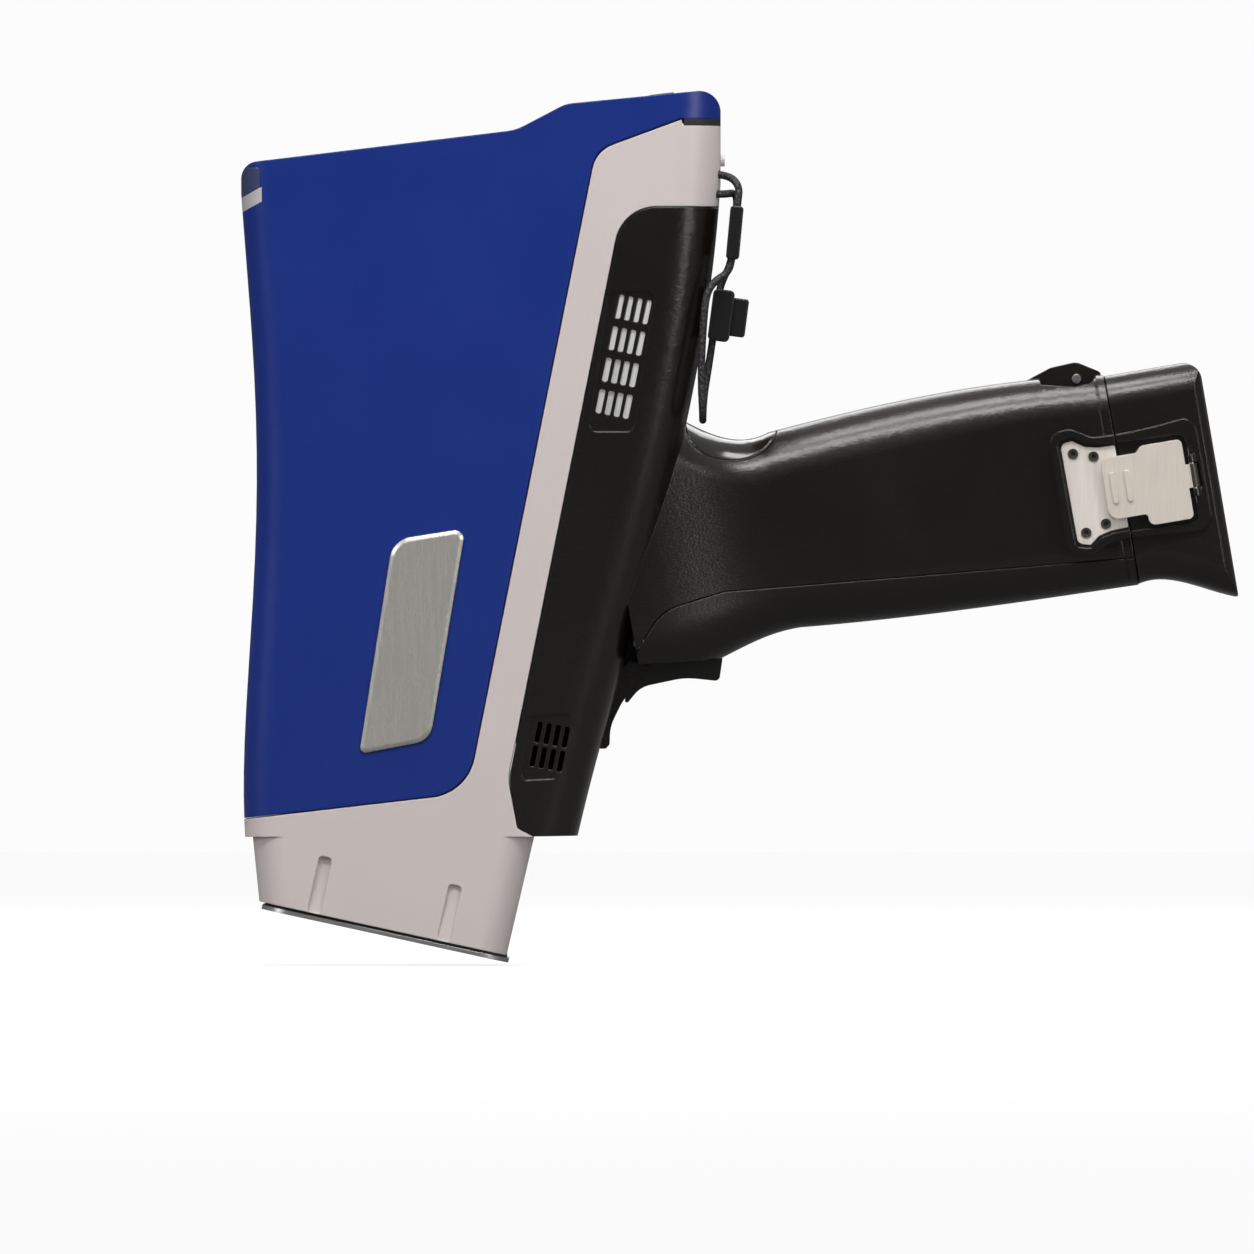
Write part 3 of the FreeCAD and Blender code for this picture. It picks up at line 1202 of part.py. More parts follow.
sink_bosses = [rod("sink_boss_room", x, z, size.boss_radius + 0.4, -THROUGH, THROUGH) for x, z in screw_spots[:2]]
fins = new_body("fins")
fin_sketch = sketch_on(fins, "XZ_Plane", 24.5)
fin_height = 42
draw_outline(fin_sketch, rectangle(-size.fin_thick / 2, size.fin_thick / 2, -fin_height / 2, fin_height / 2))
fin = pad(fins, fin_sketch, 8.3)
fins.Tip = fin
fin_row = fins.newObject("PartDesign::LinearPattern", "Fins")
fin_row.Originals = [fin]
fin_row.Direction = (fin_sketch, ["H_Axis"])
fin_row.Mode = "Spacing"
fin_row.Occurrences = 6
fin_row.Offset = size.vent_pitch.number
bind(fin_row, "Offset", size.vent_pitch)
fins.Tip = fin_row
place(fins, Frame(62.6, 165, -size.seam_tilt))
finish("heat_sink", cut("sink_cut", fuse("sink_form", [sink_core, fins]), sink_bosses))
finish("speaker", fuse("speaker_whole", [slab("speaker_body", rectangle(39.4, 50.6, 48.6, 61.5, 2), -27.6, -22),
                                         slab("speaker_flange", rectangle(37.4, 55.2, 48.0, 65.0, 1.5), -22.6, -21.6)]))

# Port connectors behind the door, and the screws of the housing and the nose

connectors = slab("connector_body", rectangle(78, port_back - 0.4, 216.5, 229.5, 1), -12, 24)
finish("port_connectors", connectors)
housing_screws = []
for x, z in screw_spots:
    side = half_width_at(as_size(z))
    shank = rod("housing_screw", x, z, size.screw_radius, -10, side - 4.4)
    head = rod("housing_screw_head", x, z, size.screw_radius * 2, side - 4.4, side - 2.6)
    housing_screws.append(fuse("housing_screw_whole", [shank, head]))
finish("housing_screws", group("housing_screw_set", housing_screws))
nose_screws = []
for along, across in nose_screw_spots:
    screw = turned("nose_screw", [(0, 0, 0), (1.9, 0, 0), (1.9, 0.6, 0), (1.2, 1.2, 0), (1.2, 4.6, 0), (0, 4.6, 0)])
    shift_x, shift_z = nose.point(as_size(along), as_size(0))
    nose_screws.append(place(screw, Frame(shift_x, shift_z, nose.tilt), across))
finish("nose_plate_screws", group("nose_screw_set", nose_screws))

# Wrist strap: one cord from the housing through slider and lock to a fold, and back

near_strand = size.cord_y.number - size.cord_gap.number
far_strand = size.cord_y.number + size.cord_gap.number
cord_route = [
    (93.6, near_strand + 2.5, 218.2),
    (98.0, near_strand + 2.3, 218.2),
    (101.6, near_strand + 1.0, 215.0),
    (100.9, near_strand, 209.5),
    (99.4, near_strand, 193.5),
    (98.0, near_strand - 0.4, 189.8),
    (94.4, near_strand - 1.8, 187.6),
    (92.0, near_strand - 2.8, 184.0),
    (91.2, near_strand - 3.0, 176.0),
    (90.6, near_strand - 3.0, 166.0),
    (90.6, near_strand - 3.0, 156.5),
    (90.9, near_strand - 2.9, 151.6),
    (91.0, near_strand - 1.4, 147.8),
    (91.0, far_strand - 1.6, 147.8),
    (91.1, far_strand - 0.1, 151.6),
    (91.5, far_strand, 156.0),
    (92.8, far_strand, 164.0),
    (93.9, far_strand, 171.4),
    (95.6, far_strand, 184.6),
    (96.9, far_strand, 188.4),
    (99.4, far_strand, 193.5),
    (100.9, far_strand, 209.5),
    (100.4, far_strand - 1.5, 213.0),
    (97.4, far_strand - 2.5, 212.5),
    (93.6, far_strand - 2.5, 212.5),
]


def cord_path(route):
    """Straight runs joined by tangent arcs, each as large as its two runs allow."""
    points = [Vector(*point) for point in route]
    edges = []
    start = points[0]
    for before, here, after in zip(points, points[1:], points[2:]):
        back = before - here
        ahead = after - here
        shorter = min(back.Length, ahead.Length)
        back.normalize()
        ahead.normalize()
        half = math.acos(max(-1.0, min(1.0, back.dot(ahead)))) / 2
        reach = 0.45 * shorter
        radius = reach * math.tan(half)
        entry = here + back * reach
        leave = here + ahead * reach
        middle = here + (back + ahead).normalize() * (radius / math.sin(half) - radius)
        edges.append(Part.LineSegment(start, entry).toShape())
        edges.append(Part.Arc(entry, middle, leave).toShape())
        start = leave
        print("cord bend radius %.1f" % radius)
    edges.append(Part.LineSegment(start, points[-1]).toShape())
    return Part.Wire(edges)


def cord_tube(name, route, radius):
    path = cord_path(route)
    direction = Vector(*route[1]) - Vector(*route[0])
    ring = Part.Wire([Part.Circle(Vector(*route[0]), direction, radius).toShape()])
    item = document.addObject("Part::Feature", name)
    item.Shape = path.makePipeShell([ring], True, False)
    expected = math.pi * radius * radius * path.Length
    print("cord length %.1f, volume %.1f of %.1f" % (path.Length, item.Shape.Volume, expected))
    return item


finish("strap_cord", cord_tube("cord", cord_route, size.cord_radius.number))


def along_cord(name, low, high, corners, half_depth, middle_y, strands):
    """A piece threaded on strands of the cord, drawn upright and leaned along it."""
    lean = math.degrees(math.atan2(high[0] - low[0], high[2] - low[2]))
    body = slab(name, corners, -as_size(half_depth), half_depth)
    frame = Frame((low[0] + high[0]) / 2, (low[2] + high[2]) / 2, -lean)
    bores = [place(disc(name + "_bore", 0, 0, size.cord_radius + 0.15, -40, 40), frame, strand)
             for strand in strands]
    return place(body, frame, middle_y), bores, frame


slider, slider_bores, slider_frame = along_cord("slider", cord_route[4], cord_route[3],
                                                rectangle(-1.9, 1.9, -7.6, 7.6, 1), 4.6, size.cord_y,
                                                (near_strand, far_strand))
finish("strap_slider", cut("slider_cut", slider, slider_bores))
lock_low, lock_high = cord_route[17], cord_route[18]
lock, lock_bores, lock_frame = along_cord("lock", lock_low, lock_high, rectangle(-1.55, 4.65, -7.4, 7.4, 1.4), 4.2,
                                          far_strand, (far_strand,))
plunger_room = place(slab("plunger_room", rectangle(1.7, 9, -5.7, 5.7, 0), -3.2, 3.2), lock_frame, far_strand)
finish("cord_lock_body", cut("lock_cut", lock, lock_bores + [plunger_room]))
plunger = slab("plunger", rectangle(3.9, 8.95, -5.5, 5.5, 0.9), -3.0, 3.0)
finish("cord_lock_plunger", place(plunger, lock_frame, far_strand))
document.recompute()


class BuildError(Exception):
    """Raised when a piece did not come out as a valid solid."""


for item in document.Objects:
    if "Invalid" in item.State or "Error" in item.State:
        raise BuildError("%s did not recompute" % item.Name)
for name, item in pieces:
    if item.Shape.isNull() or not item.Shape.isValid() or not item.Shape.Solids:
        raise BuildError("%s is not a valid solid" % name)
os.makedirs("parts", exist_ok=True)
for name, item in pieces:
    item.Shape.exportStep("parts/%s.step" % name)
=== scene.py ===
import json
import math

import bmesh
import bpy
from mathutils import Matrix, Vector


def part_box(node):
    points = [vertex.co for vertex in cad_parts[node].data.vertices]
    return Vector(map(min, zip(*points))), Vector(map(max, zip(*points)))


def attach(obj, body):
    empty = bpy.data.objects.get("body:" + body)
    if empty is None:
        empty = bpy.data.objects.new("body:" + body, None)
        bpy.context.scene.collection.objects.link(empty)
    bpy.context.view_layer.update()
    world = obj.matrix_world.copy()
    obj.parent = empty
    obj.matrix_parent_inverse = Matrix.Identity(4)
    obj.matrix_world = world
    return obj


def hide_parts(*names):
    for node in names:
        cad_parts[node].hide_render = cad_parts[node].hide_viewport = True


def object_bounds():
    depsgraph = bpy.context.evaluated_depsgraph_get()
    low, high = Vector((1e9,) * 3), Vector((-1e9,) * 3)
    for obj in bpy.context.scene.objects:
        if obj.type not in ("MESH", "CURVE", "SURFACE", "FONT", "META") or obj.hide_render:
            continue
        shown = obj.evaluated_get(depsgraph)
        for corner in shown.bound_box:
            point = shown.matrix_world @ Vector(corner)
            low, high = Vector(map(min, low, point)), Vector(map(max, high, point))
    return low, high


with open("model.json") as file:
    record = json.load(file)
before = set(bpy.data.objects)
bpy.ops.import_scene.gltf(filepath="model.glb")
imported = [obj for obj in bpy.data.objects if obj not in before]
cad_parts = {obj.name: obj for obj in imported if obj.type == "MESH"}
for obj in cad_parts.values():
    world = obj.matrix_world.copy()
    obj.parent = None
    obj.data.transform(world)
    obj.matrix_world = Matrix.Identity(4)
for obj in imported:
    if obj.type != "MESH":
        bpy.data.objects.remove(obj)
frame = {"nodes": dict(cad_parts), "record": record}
cad_low, cad_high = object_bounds()

# Camera and studio
# The photograph looks square at the left side of the instrument, with a long lens and no roll.
# One pixel of the 1254 pixel frame is 0.2875 mm at the middle plane of the body.
picture_pixels = 1254
pixel = 0.0002875
frame_width = picture_pixels * pixel
half_picture = picture_pixels / 2
nose_column, nose_row = 386, 935
middle = Vector(((half_picture - nose_column) * pixel, 0.0, (nose_row - half_picture) * pixel))
lens_mm = 800.0
sensor_mm = 36.0
camera_data = bpy.data.cameras.new("camera")
camera_data.lens = lens_mm
camera_data.sensor_width = sensor_mm
camera_data.clip_end = 50.0
camera = bpy.data.objects.new("camera", camera_data)
bpy.context.collection.objects.link(camera)
stand_off = frame_width * lens_mm / sensor_mm
camera.location = (middle.x, -stand_off, middle.z)
camera.rotation_euler = (math.radians(90), 0, 0)
bpy.context.scene.camera = camera

# The sky is white where the camera sees it and dimmer as a light, darker from the sides and below.
sky_strength = 0.60
sky_foot_tone = (0.12, 0.12, 0.12, 1.0)
sky_full_height = 0.75
backdrop_strength = 0.975
white = (1.0, 1.0, 1.0, 1.0)
world = bpy.data.worlds.new("studio")
world.use_nodes = True
sky = world.node_tree
sky_light = sky.nodes["Background"]
sky_light.inputs["Strength"].default_value = sky_strength
direction = sky.nodes.new("ShaderNodeTexCoord")
height = sky.nodes.new("ShaderNodeSeparateXYZ")
sky.links.new(direction.outputs["Generated"], height.inputs[0])
ramp = sky.nodes.new("ShaderNodeValToRGB")
ramp.color_ramp.elements[0].position = 0.0
ramp.color_ramp.elements[0].color = sky_foot_tone
ramp.color_ramp.elements[1].position = sky_full_height
ramp.color_ramp.elements[1].color = white
sky.links.new(height.outputs[2], ramp.inputs[0])
sky.links.new(ramp.outputs[0], sky_light.inputs["Color"])
backdrop = sky.nodes.new("ShaderNodeBackground")
backdrop.inputs["Color"].default_value = white
backdrop.inputs["Strength"].default_value = backdrop_strength
ray = sky.nodes.new("ShaderNodeLightPath")
choose = sky.nodes.new("ShaderNodeMixShader")
sky.links.new(ray.outputs["Is Camera Ray"], choose.inputs[0])
sky.links.new(sky_light.outputs[0], choose.inputs[1])
sky.links.new(backdrop.outputs[0], choose.inputs[2])
sky.links.new(choose.outputs[0], sky.nodes["World Output"].inputs["Surface"])
bpy.context.scene.world = world
bpy.context.scene.view_settings.view_transform = "Standard"
heart = Vector((0.09, 0.0, 0.11))


def softbox(name, place, size, watts):
    """A rectangular area light that looks at the heart of the object."""
    light = bpy.data.lights.new(name, "AREA")
    light.shape = "RECTANGLE"
    light.size, light.size_y = size
    light.energy = watts
    lamp = bpy.data.objects.new(name, light)
    bpy.context.collection.objects.link(lamp)
    lamp.location = place
    lamp.rotation_euler = (heart - Vector(place)).to_track_quat("-Z", "Y").to_euler()


softbox("top_box", (0.05, -0.80, 1.15), (1.0, 0.20), 10.4)
softbox("crown_box", (0.16, -0.20, 1.25), (0.9, 0.30), 9.6)
softbox("left_box", (-1.6, -1.3, 0.9), (0.9, 0.9), 12.4)
softbox("right_box", (1.5, -1.3, 0.35), (0.5, 0.8), 9.2)
softbox("back_box", (0.3, 1.2, 1.0), (1.2, 0.6), 8.0)


class Shade:
    """A shader socket that can be written as a number in an expression."""

    def __init__(self, finish, socket):
        self.finish = finish
        self.socket = socket

    def maths(self, operation, first, second):
        return self.finish.node("ShaderNodeMath", {"operation": operation}, {0: first, 1: second})

    def __add__(self, other):
        return self.maths("ADD", self, other)

    def __mul__(self, other):
        return self.maths("MULTIPLY", self, other)

    def __sub__(self, other):
        return self.maths("SUBTRACT", self, other)

    def __rsub__(self, other):
        return self.maths("SUBTRACT", other, self)

    def __pow__(self, other):
        return self.maths("POWER", self, other)


class Finish:
    """One material: a Principled shader and the nodes that vary it."""

    def __init__(self, name, colour, roughness, metallic=0.0, **sockets):
        self.material = bpy.data.materials.new(name)
        self.material.use_nodes = True
        self.tree = self.material.node_tree
        self.shader = self.tree.nodes["Principled BSDF"]
        self.set("Base Color", (*colour, 1.0))
        self.set("Roughness", roughness)
        self.set("Metallic", metallic)
        for socket, value in sockets.items():
            self.set(socket.replace("_", " "), value)

    def feed(self, socket, value):
        """Link a Shade to a socket, or write a constant on the socket itself."""
        if isinstance(value, Shade):
            self.tree.links.new(value.socket, socket)
        else:
            socket.default_value = value

    def set(self, socket, value):
        self.feed(self.shader.inputs[socket], value)

    def node(self, kind, settings, values, output=0):
        """A new node with its settings and inputs, returned as the Shade of one output."""
        made = self.tree.nodes.new(kind)
        for key, value in settings.items():
            setattr(made, key, value)
        for key, value in values.items():
            self.feed(made.inputs[key], value)
        return Shade(self, made.outputs[output])

    def place(self, scale=(1.0, 1.0, 1.0)):
        """The object coordinates, squeezed by scale so that a pattern runs along one way."""
        point = self.node("ShaderNodeTexCoord", {}, {}, "Object")
        if scale == (1.0, 1.0, 1.0):
            return point
        return self.node("ShaderNodeMapping", {}, {"Vector": point, "Scale": scale})

    def noise(self, scale, detail=2.0, roughness=0.5, where=None):
        return self.node("ShaderNodeTexNoise", {},
                         {"Vector": where or self.place(), "Scale": scale, "Detail": detail,
                          "Roughness": roughness})

    def tint(self, factor, dark, light):
        return self.node("ShaderNodeMix", {"data_type": "RGBA"},
                         {0: factor, 6: (*dark, 1.0), 7: (*light, 1.0)}, 2)

    def relief(self, height, depth, under=None):
        values = {"Height": height, "Strength": 1.0, "Distance": depth}
        if under is not None:
            values["Normal"] = under
        return self.node("ShaderNodeBump", {}, values)

    def soft_edge(self, radius):
        return self.node("ShaderNodeBevel", {"samples": 4}, {"Radius": radius})


def near(colour, factor):
    return tuple(channel * factor for channel in colour)


cloud_scale = 38.0
gloss_swing = 0.10
groove_depth = 0.0004


def moulded(name, colour, roughness, grain, grain_scale, edge, mottle=0.06, polish=None):
    """Moulded plastic: spark-eroded grain in relief, a slight cloudiness, softened edges.

    polish is the middle and the reach in x and z of a smooth area with a fine groove round it.
    """
    finish = Finish(name, colour, roughness)
    cloud = finish.noise(cloud_scale, 3.0)
    finish.set("Base Color", finish.tint(cloud, near(colour, 1 - mottle), near(colour, 1 + mottle)))
    height = finish.noise(grain_scale, 2.0, 0.6) * grain
    gloss = (cloud - 0.5) * gloss_swing + roughness
    if polish:
        centre_x, centre_z, reach_x, reach_z = polish
        spot = finish.place()
        x = finish.node("ShaderNodeSeparateXYZ", {}, {0: spot}, 0)
        z = finish.node("ShaderNodeSeparateXYZ", {}, {0: spot}, 2)
        ring = (((x - centre_x) * (1 / reach_x)) ** 2 + ((z - centre_z) * (1 / reach_z)) ** 2) ** 0.5
        inside = finish.node("ShaderNodeMapRange", {"interpolation_type": "SMOOTHSTEP"},
                             {0: ring, 1: 1.0, 2: 0.97, 3: 0.0, 4: 1.0})
        groove = finish.node("ShaderNodeMapRange", {"interpolation_type": "SMOOTHSTEP"},
                             {0: ((ring - 1.02) ** 2) ** 0.5, 1: 0.0, 2: 0.05, 3: 1.0, 4: 0.0})
        height = height * (1 - inside * 0.9) - groove * groove_depth
        gloss = gloss * (1 - inside * 0.45)
    finish.set("Roughness", gloss)
    finish.set("Normal", finish.relief(height, 1.0, finish.soft_edge(edge)))
    return finish.material


bodies = frame["record"]["behaviour"]["bodies"]


def body_of(node):
    return next(body for body, nodes in bodies.items() if node in nodes)


def coat(node, material):
    """Give a CAD node its finish and leave its shape as it is."""
    item = frame["nodes"][node]
    if not item.material_slots:
        item.data.materials.append(material)
    for place in item.material_slots:
        place.material = material


weld_distance = 0.000002
crease_angle = math.radians(32)
face_area_weight = 80


def dress(node, material):
    """A merged copy of a CAD node with smooth faces, so curved walls shade as curved."""
    copy = bpy.data.objects.new(node + "_skin", frame["nodes"][node].data.copy())
    bpy.context.collection.objects.link(copy)
    mesh = bmesh.new()
    mesh.from_mesh(copy.data)
    bmesh.ops.remove_doubles(mesh, verts=mesh.verts, dist=weld_distance)
    bmesh.ops.dissolve_degenerate(mesh, dist=weld_distance, edges=mesh.edges)
    for face in mesh.faces:
        face.smooth = True
    for edge in mesh.edges:
        edge.smooth = edge.is_manifold and edge.calc_face_angle(0.0) < crease_angle
    mesh.to_mesh(copy.data)
    mesh.free()
    copy.data.materials.clear()
    copy.data.materials.append(material)
    weight = copy.modifiers.new("even_faces", "WEIGHTED_NORMAL")
    weight.keep_sharp = True
    weight.weight = face_area_weight
    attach(copy, body_of(node))
    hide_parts(node)
    return copy


facing = 0.9


def step_face(piece, way, steps):
    """Inset the face that looks along way, step by step, and sink each inset by its drop."""
    form = bmesh.new()
    form.from_mesh(piece.data)
    front = [face for face in form.faces if face.normal.dot(way) > facing]
    for inset, drop in steps:
        ring = bmesh.ops.inset_region(form, faces=front, thickness=inset, use_even_offset=True)
        for face in ring["faces"]:
            face.smooth = abs(drop) < inset
        inner = {vertex for face in front for vertex in face.verts}
        bmesh.ops.translate(form, verts=list(inner), vec=way * -drop)
    form.to_mesh(piece.data)
    form.free()


# Floor
# A plain pale sheet just below the nose, level, with nothing on it. It glows a little where the
# camera sees it, so that it has the tone of the backdrop.
floor_reach = 4.0
floor_gap = 0.001
floor_glow = 0.855
floor_mesh = bpy.data.meshes.new("floor")
floor_form = bmesh.new()
bmesh.ops.create_grid(floor_form, x_segments=1, y_segments=1, size=floor_reach)
bmesh.ops.translate(floor_form, verts=floor_form.verts, vec=(0.1, 0.0, cad_low.z - floor_gap))
floor_form.to_mesh(floor_mesh)
floor_form.free()
floor = bpy.data.objects.new("floor", floor_mesh)
bpy.context.collection.objects.link(floor)
pale_floor = Finish("pale_floor", (0.12, 0.12, 0.12), 0.9, Emission_Strength=floor_glow)
floor_ray = pale_floor.node("ShaderNodeLightPath", {}, {}, "Is Camera Ray")
pale_floor.set("Emission Color", pale_floor.tint(floor_ray, (0.0, 0.0, 0.0), (1.0, 1.0, 1.0)))
floor_mesh.materials.append(pale_floor.material)

# Wrist strap cord
# A braided polyester cord, 2.2 mm thick, that leaves the housing beside the port door, runs down
# through a slider and a cord lock and turns back at a fold above the saddle of the grip.
strand_y = -0.030
strand_gap = 0.0025
cord_radius = 0.0011
near_y, far_y = strand_y - strand_gap, strand_y + strand_gap
cord_route = [
    (0.0936, near_y + 0.0025, 0.2182), (0.0980, near_y + 0.0023, 0.2182),
    (0.1016, near_y + 0.0010, 0.2150), (0.1009, near_y, 0.2095),
    (0.0994, near_y, 0.1935), (0.0980, near_y - 0.0004, 0.1898),
    (0.0944, near_y - 0.0018, 0.1876), (0.0920, near_y - 0.0028, 0.1840),
    (0.0912, near_y - 0.0030, 0.1760), (0.0906, near_y - 0.0030, 0.1660),
    (0.0906, near_y - 0.0030, 0.1565), (0.0909, near_y - 0.0029, 0.1516),
    (0.0910, near_y - 0.0014, 0.1478), (0.0910, far_y - 0.0016, 0.1478),
    (0.0911, far_y - 0.0001, 0.1516), (0.0915, far_y, 0.1560),
    (0.0928, far_y, 0.1640), (0.0939, far_y, 0.1714),
    (0.0956, far_y, 0.1846), (0.0969, far_y, 0.1884),
    (0.0994, far_y, 0.1935), (0.1009, far_y, 0.2095),
    (0.1004, far_y - 0.0015, 0.2130), (0.0974, far_y - 0.0025, 0.2125),
    (0.0936, far_y - 0.0025, 0.2125),
]
cord_curve = bpy.data.curves.new("wrist_cord", "CURVE")
cord_curve.dimensions = "3D"
cord_line = cord_curve.splines.new("NURBS")
cord_line.points.add(len(cord_route) - 1)
for control, point in zip(cord_line.points, cord_route):
    control.co = (*point, 1.0)
cord_line.order_u = 3
cord_line.use_endpoint_u = True
cord_line.resolution_u = 12
cord_curve.bevel_depth = cord_radius
cord_curve.bevel_resolution = 4
cord_curve.use_fill_caps = True
cord = bpy.data.objects.new("wrist_cord", cord_curve)
bpy.context.collection.objects.link(cord)
braid = Finish("braided_cord", (0.008, 0.008, 0.009), 0.55)
strand = braid.node("ShaderNodeTexVoronoi", {},
                    {"Vector": braid.place((1.0, 1.0, 0.55)), "Scale": 1500.0})
braid.set("Base Color", braid.tint(strand, (0.003, 0.003, 0.004), (0.022, 0.021, 0.024)))
braid.set("Normal", braid.relief(strand, 0.00035))
cord_curve.materials.append(braid.material)
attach(cord, "root")
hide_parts("strap_cord")

# Slider and cord lock
# Small black mouldings threaded on both strands; the lock's plunger grips them under a spring.
strap_plastic = moulded("strap_plastic", (0.008, 0.008, 0.009), 0.28, 0.00002, 2600.0, 0.0009)
for node in ("strap_slider", "cord_lock_body", "cord_lock_plunger"):
    dress(node, strap_plastic)

# Top cover
# The long back of the body and the display end, moulded in deep blue satin plastic.
blue = (0.0025, 0.0215, 0.196)
blue_plastic = moulded("blue_plastic", blue, 0.36, 0.000012, 1900.0, 0.0006, 0.05)
dress("top_cover", blue_plastic)

# Middle housing and port door
# A pale grey moulding between the cover and the grip, with a small door for the ports at its top.
grey = (0.600, 0.535, 0.523)
grey_plastic = moulded("grey_plastic", grey, 0.40, 0.000014, 1700.0, 0.0005, 0.02)
dress("mid_housing", grey_plastic)
dress("port_door", grey_plastic)
knob_plastic = moulded("knob_plastic", (0.62, 0.60, 0.58), 0.35, 0.00001, 1700.0, 0.0002, 0.02)
dress("port_door_knob", knob_plastic)

# Lower housing, grip and battery door
# Two halves in black glass-filled plastic with a soft front strap, and a flared door at the foot.
black = (0.0062, 0.0046, 0.0030)
saddle = (0.0990, 0.1462, 0.0128, 0.0098)
black_plastic = moulded("black_plastic", black, 0.25, 0.00006, 1300.0, 0.0005, polish=saddle)
soft_grip = moulded("soft_grip", near(black, 0.9), 0.30, 0.00006, 1200.0, 0.0005)
dress("lower_housing_left", black_plastic)
dress("lower_housing_right", black_plastic)
dress("battery_door", black_plastic)
dress("front_strap", soft_grip)

# Seam gasket and slot cheeks of the grip
# A black rubber strip closes the long seam above the strap from inside, and two small cheeks
# close the housing beside the trigger's pivot.
gasket_start = 0.0995
gasket_foot = Vector((0.0980, 0.0, 0.0960))
seam_rise = Vector((0.0498, 0.0, 0.0039)).normalized()
gasket_narrowing = 0.9
gasket_shift = (-0.0001, 0.0, 0.00045)
# This dark rubber also serves as painted shade on the sheet behind the front vents.
gasket_rubber_and_vent_shade = moulded("gasket_rubber_and_vent_shade", (0.010, 0.010, 0.010), 0.6, 0.00002, 1500.0, 0.0001)


def add_piece(name, form, material, body):
    """A new piece from a bmesh, riding on a body."""
    mesh = bpy.data.meshes.new(name)
    form.to_mesh(mesh)
    form.free()
    mesh.materials.append(material)
    item = bpy.data.objects.new(name, mesh)
    bpy.context.collection.objects.link(item)
    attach(item, body)
    return item


strip = bmesh.new()
strip.from_mesh(frame["nodes"]["front_strap"].data)
bmesh.ops.remove_doubles(strip, verts=strip.verts, dist=weld_distance)
for point, outward in ((Vector((gasket_start, 0, 0)), Vector((-1, 0, 0))),
                       (gasket_foot, Vector((seam_rise.z, 0, -seam_rise.x)))):
    everything = list(strip.verts) + list(strip.edges) + list(strip.faces)
    bmesh.ops.bisect_plane(strip, geom=everything, plane_co=point, plane_no=outward,
                           clear_outer=True)
bmesh.ops.holes_fill(strip, edges=strip.edges)
bmesh.ops.scale(strip, verts=strip.verts, vec=(1.0, gasket_narrowing, 1.0))
bmesh.ops.translate(strip, verts=strip.verts, vec=gasket_shift)
add_piece("strap_gasket", strip, gasket_rubber_and_vent_shade, "root")
trigger_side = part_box("trigger")[1].y
cheek_outline = [
    (0.0665, 0.0750), (0.0718, 0.0772), (0.0726, 0.0840), (0.0712, 0.0885), (0.0672, 0.0885),
]
cheek_wall = 0.0015
cheek_room = 0.0006
cheek_rounding = 0.0003
cheeks = bmesh.new()
for side in (-1, 1):
    inner_y = side * (trigger_side + cheek_room)
    corners = [cheeks.verts.new((x, inner_y, z)) for x, z in cheek_outline]
    face = cheeks.faces.new(corners)
    grown = bmesh.ops.extrude_face_region(cheeks, geom=[face])["geom"]
    moved = [item for item in grown if isinstance(item, bmesh.types.BMVert)]
    bmesh.ops.translate(cheeks, verts=moved, vec=(0, side * cheek_wall, 0))
bmesh.ops.recalc_face_normals(cheeks, faces=cheeks.faces)
bmesh.ops.bevel(cheeks, geom=list(cheeks.edges), offset=cheek_rounding, segments=2,
                affect="EDGES", profile=0.5, material=-1)
add_piece("slot_cheeks", cheeks, gasket_rubber_and_vent_shade, "root")

# Vent fins and shade sheet
# Pale aluminium fins of the heat sink stand in the rear vent slots on both sides, one for each
# column, with a faint painted glow; a black sheet behind the front vents is painted shade.
vent_pitch = 0.00265
vent_tilt = Vector((0.2130, 0.0, 0.9770))
vent_across = Vector((0.9770, 0.0, -0.2130))
vent_start = Vector((0.0617, 0.0, 0.1532))
fin_half_width = 0.0010
fin_overrun = 0.0040
fin_length = 0.0362
fin_depth = 0.0011
fin_thickness = 0.006
fin_rounding = 0.0002
wall_reach = 0.004
# Pale aluminium that also glows faintly: painted light, so the fins read bright inside the slots.
glowing_fin_alloy = Finish("glowing_fin_alloy", (0.86, 0.86, 0.83), 0.45, 0.15,
                   Emission_Color=(0.86, 0.87, 0.83, 1.0), Emission_Strength=0.10)
fin_grain = glowing_fin_alloy.noise(900.0, 2.0, 0.6, glowing_fin_alloy.place((1.0, 1.0, 0.1)))
glowing_fin_alloy.set("Base Color", glowing_fin_alloy.tint(fin_grain, (0.56, 0.56, 0.54), (0.72, 0.72, 0.69)))
wall_points = [vertex.co.copy() for vertex in frame["nodes"]["lower_housing_left"].data.vertices]


def wall_y(x, z):
    """How far out the left wall stands near a place in the side view."""
    return min(point.y for point in wall_points
               if abs(point.x - x) < wall_reach and abs(point.z - z) < wall_reach)


blades = bmesh.new()
for side in (-1, 1):
    for column in range(4):
        foot = vent_start + vent_across * (vent_pitch * column) - vent_tilt * fin_overrun
        head = foot + vent_tilt * fin_length
        rings = []
        for spot in (foot, head):
            outer = -wall_y(spot.x, spot.z) - fin_depth
            for shift in (-fin_half_width, fin_half_width):
                for depth in (0.0, fin_thickness):
                    place = spot + vent_across * shift
                    rings.append(blades.verts.new((place.x, side * (outer - depth), place.z)))
        bmesh.ops.convex_hull(blades, input=rings)
bmesh.ops.recalc_face_normals(blades, faces=blades.faces)
bmesh.ops.bevel(blades, geom=list(blades.edges), offset=fin_rounding, segments=2,
                affect="EDGES", profile=0.5, material=-1)
add_piece("vent_fins", blades, glowing_fin_alloy.material, "root")
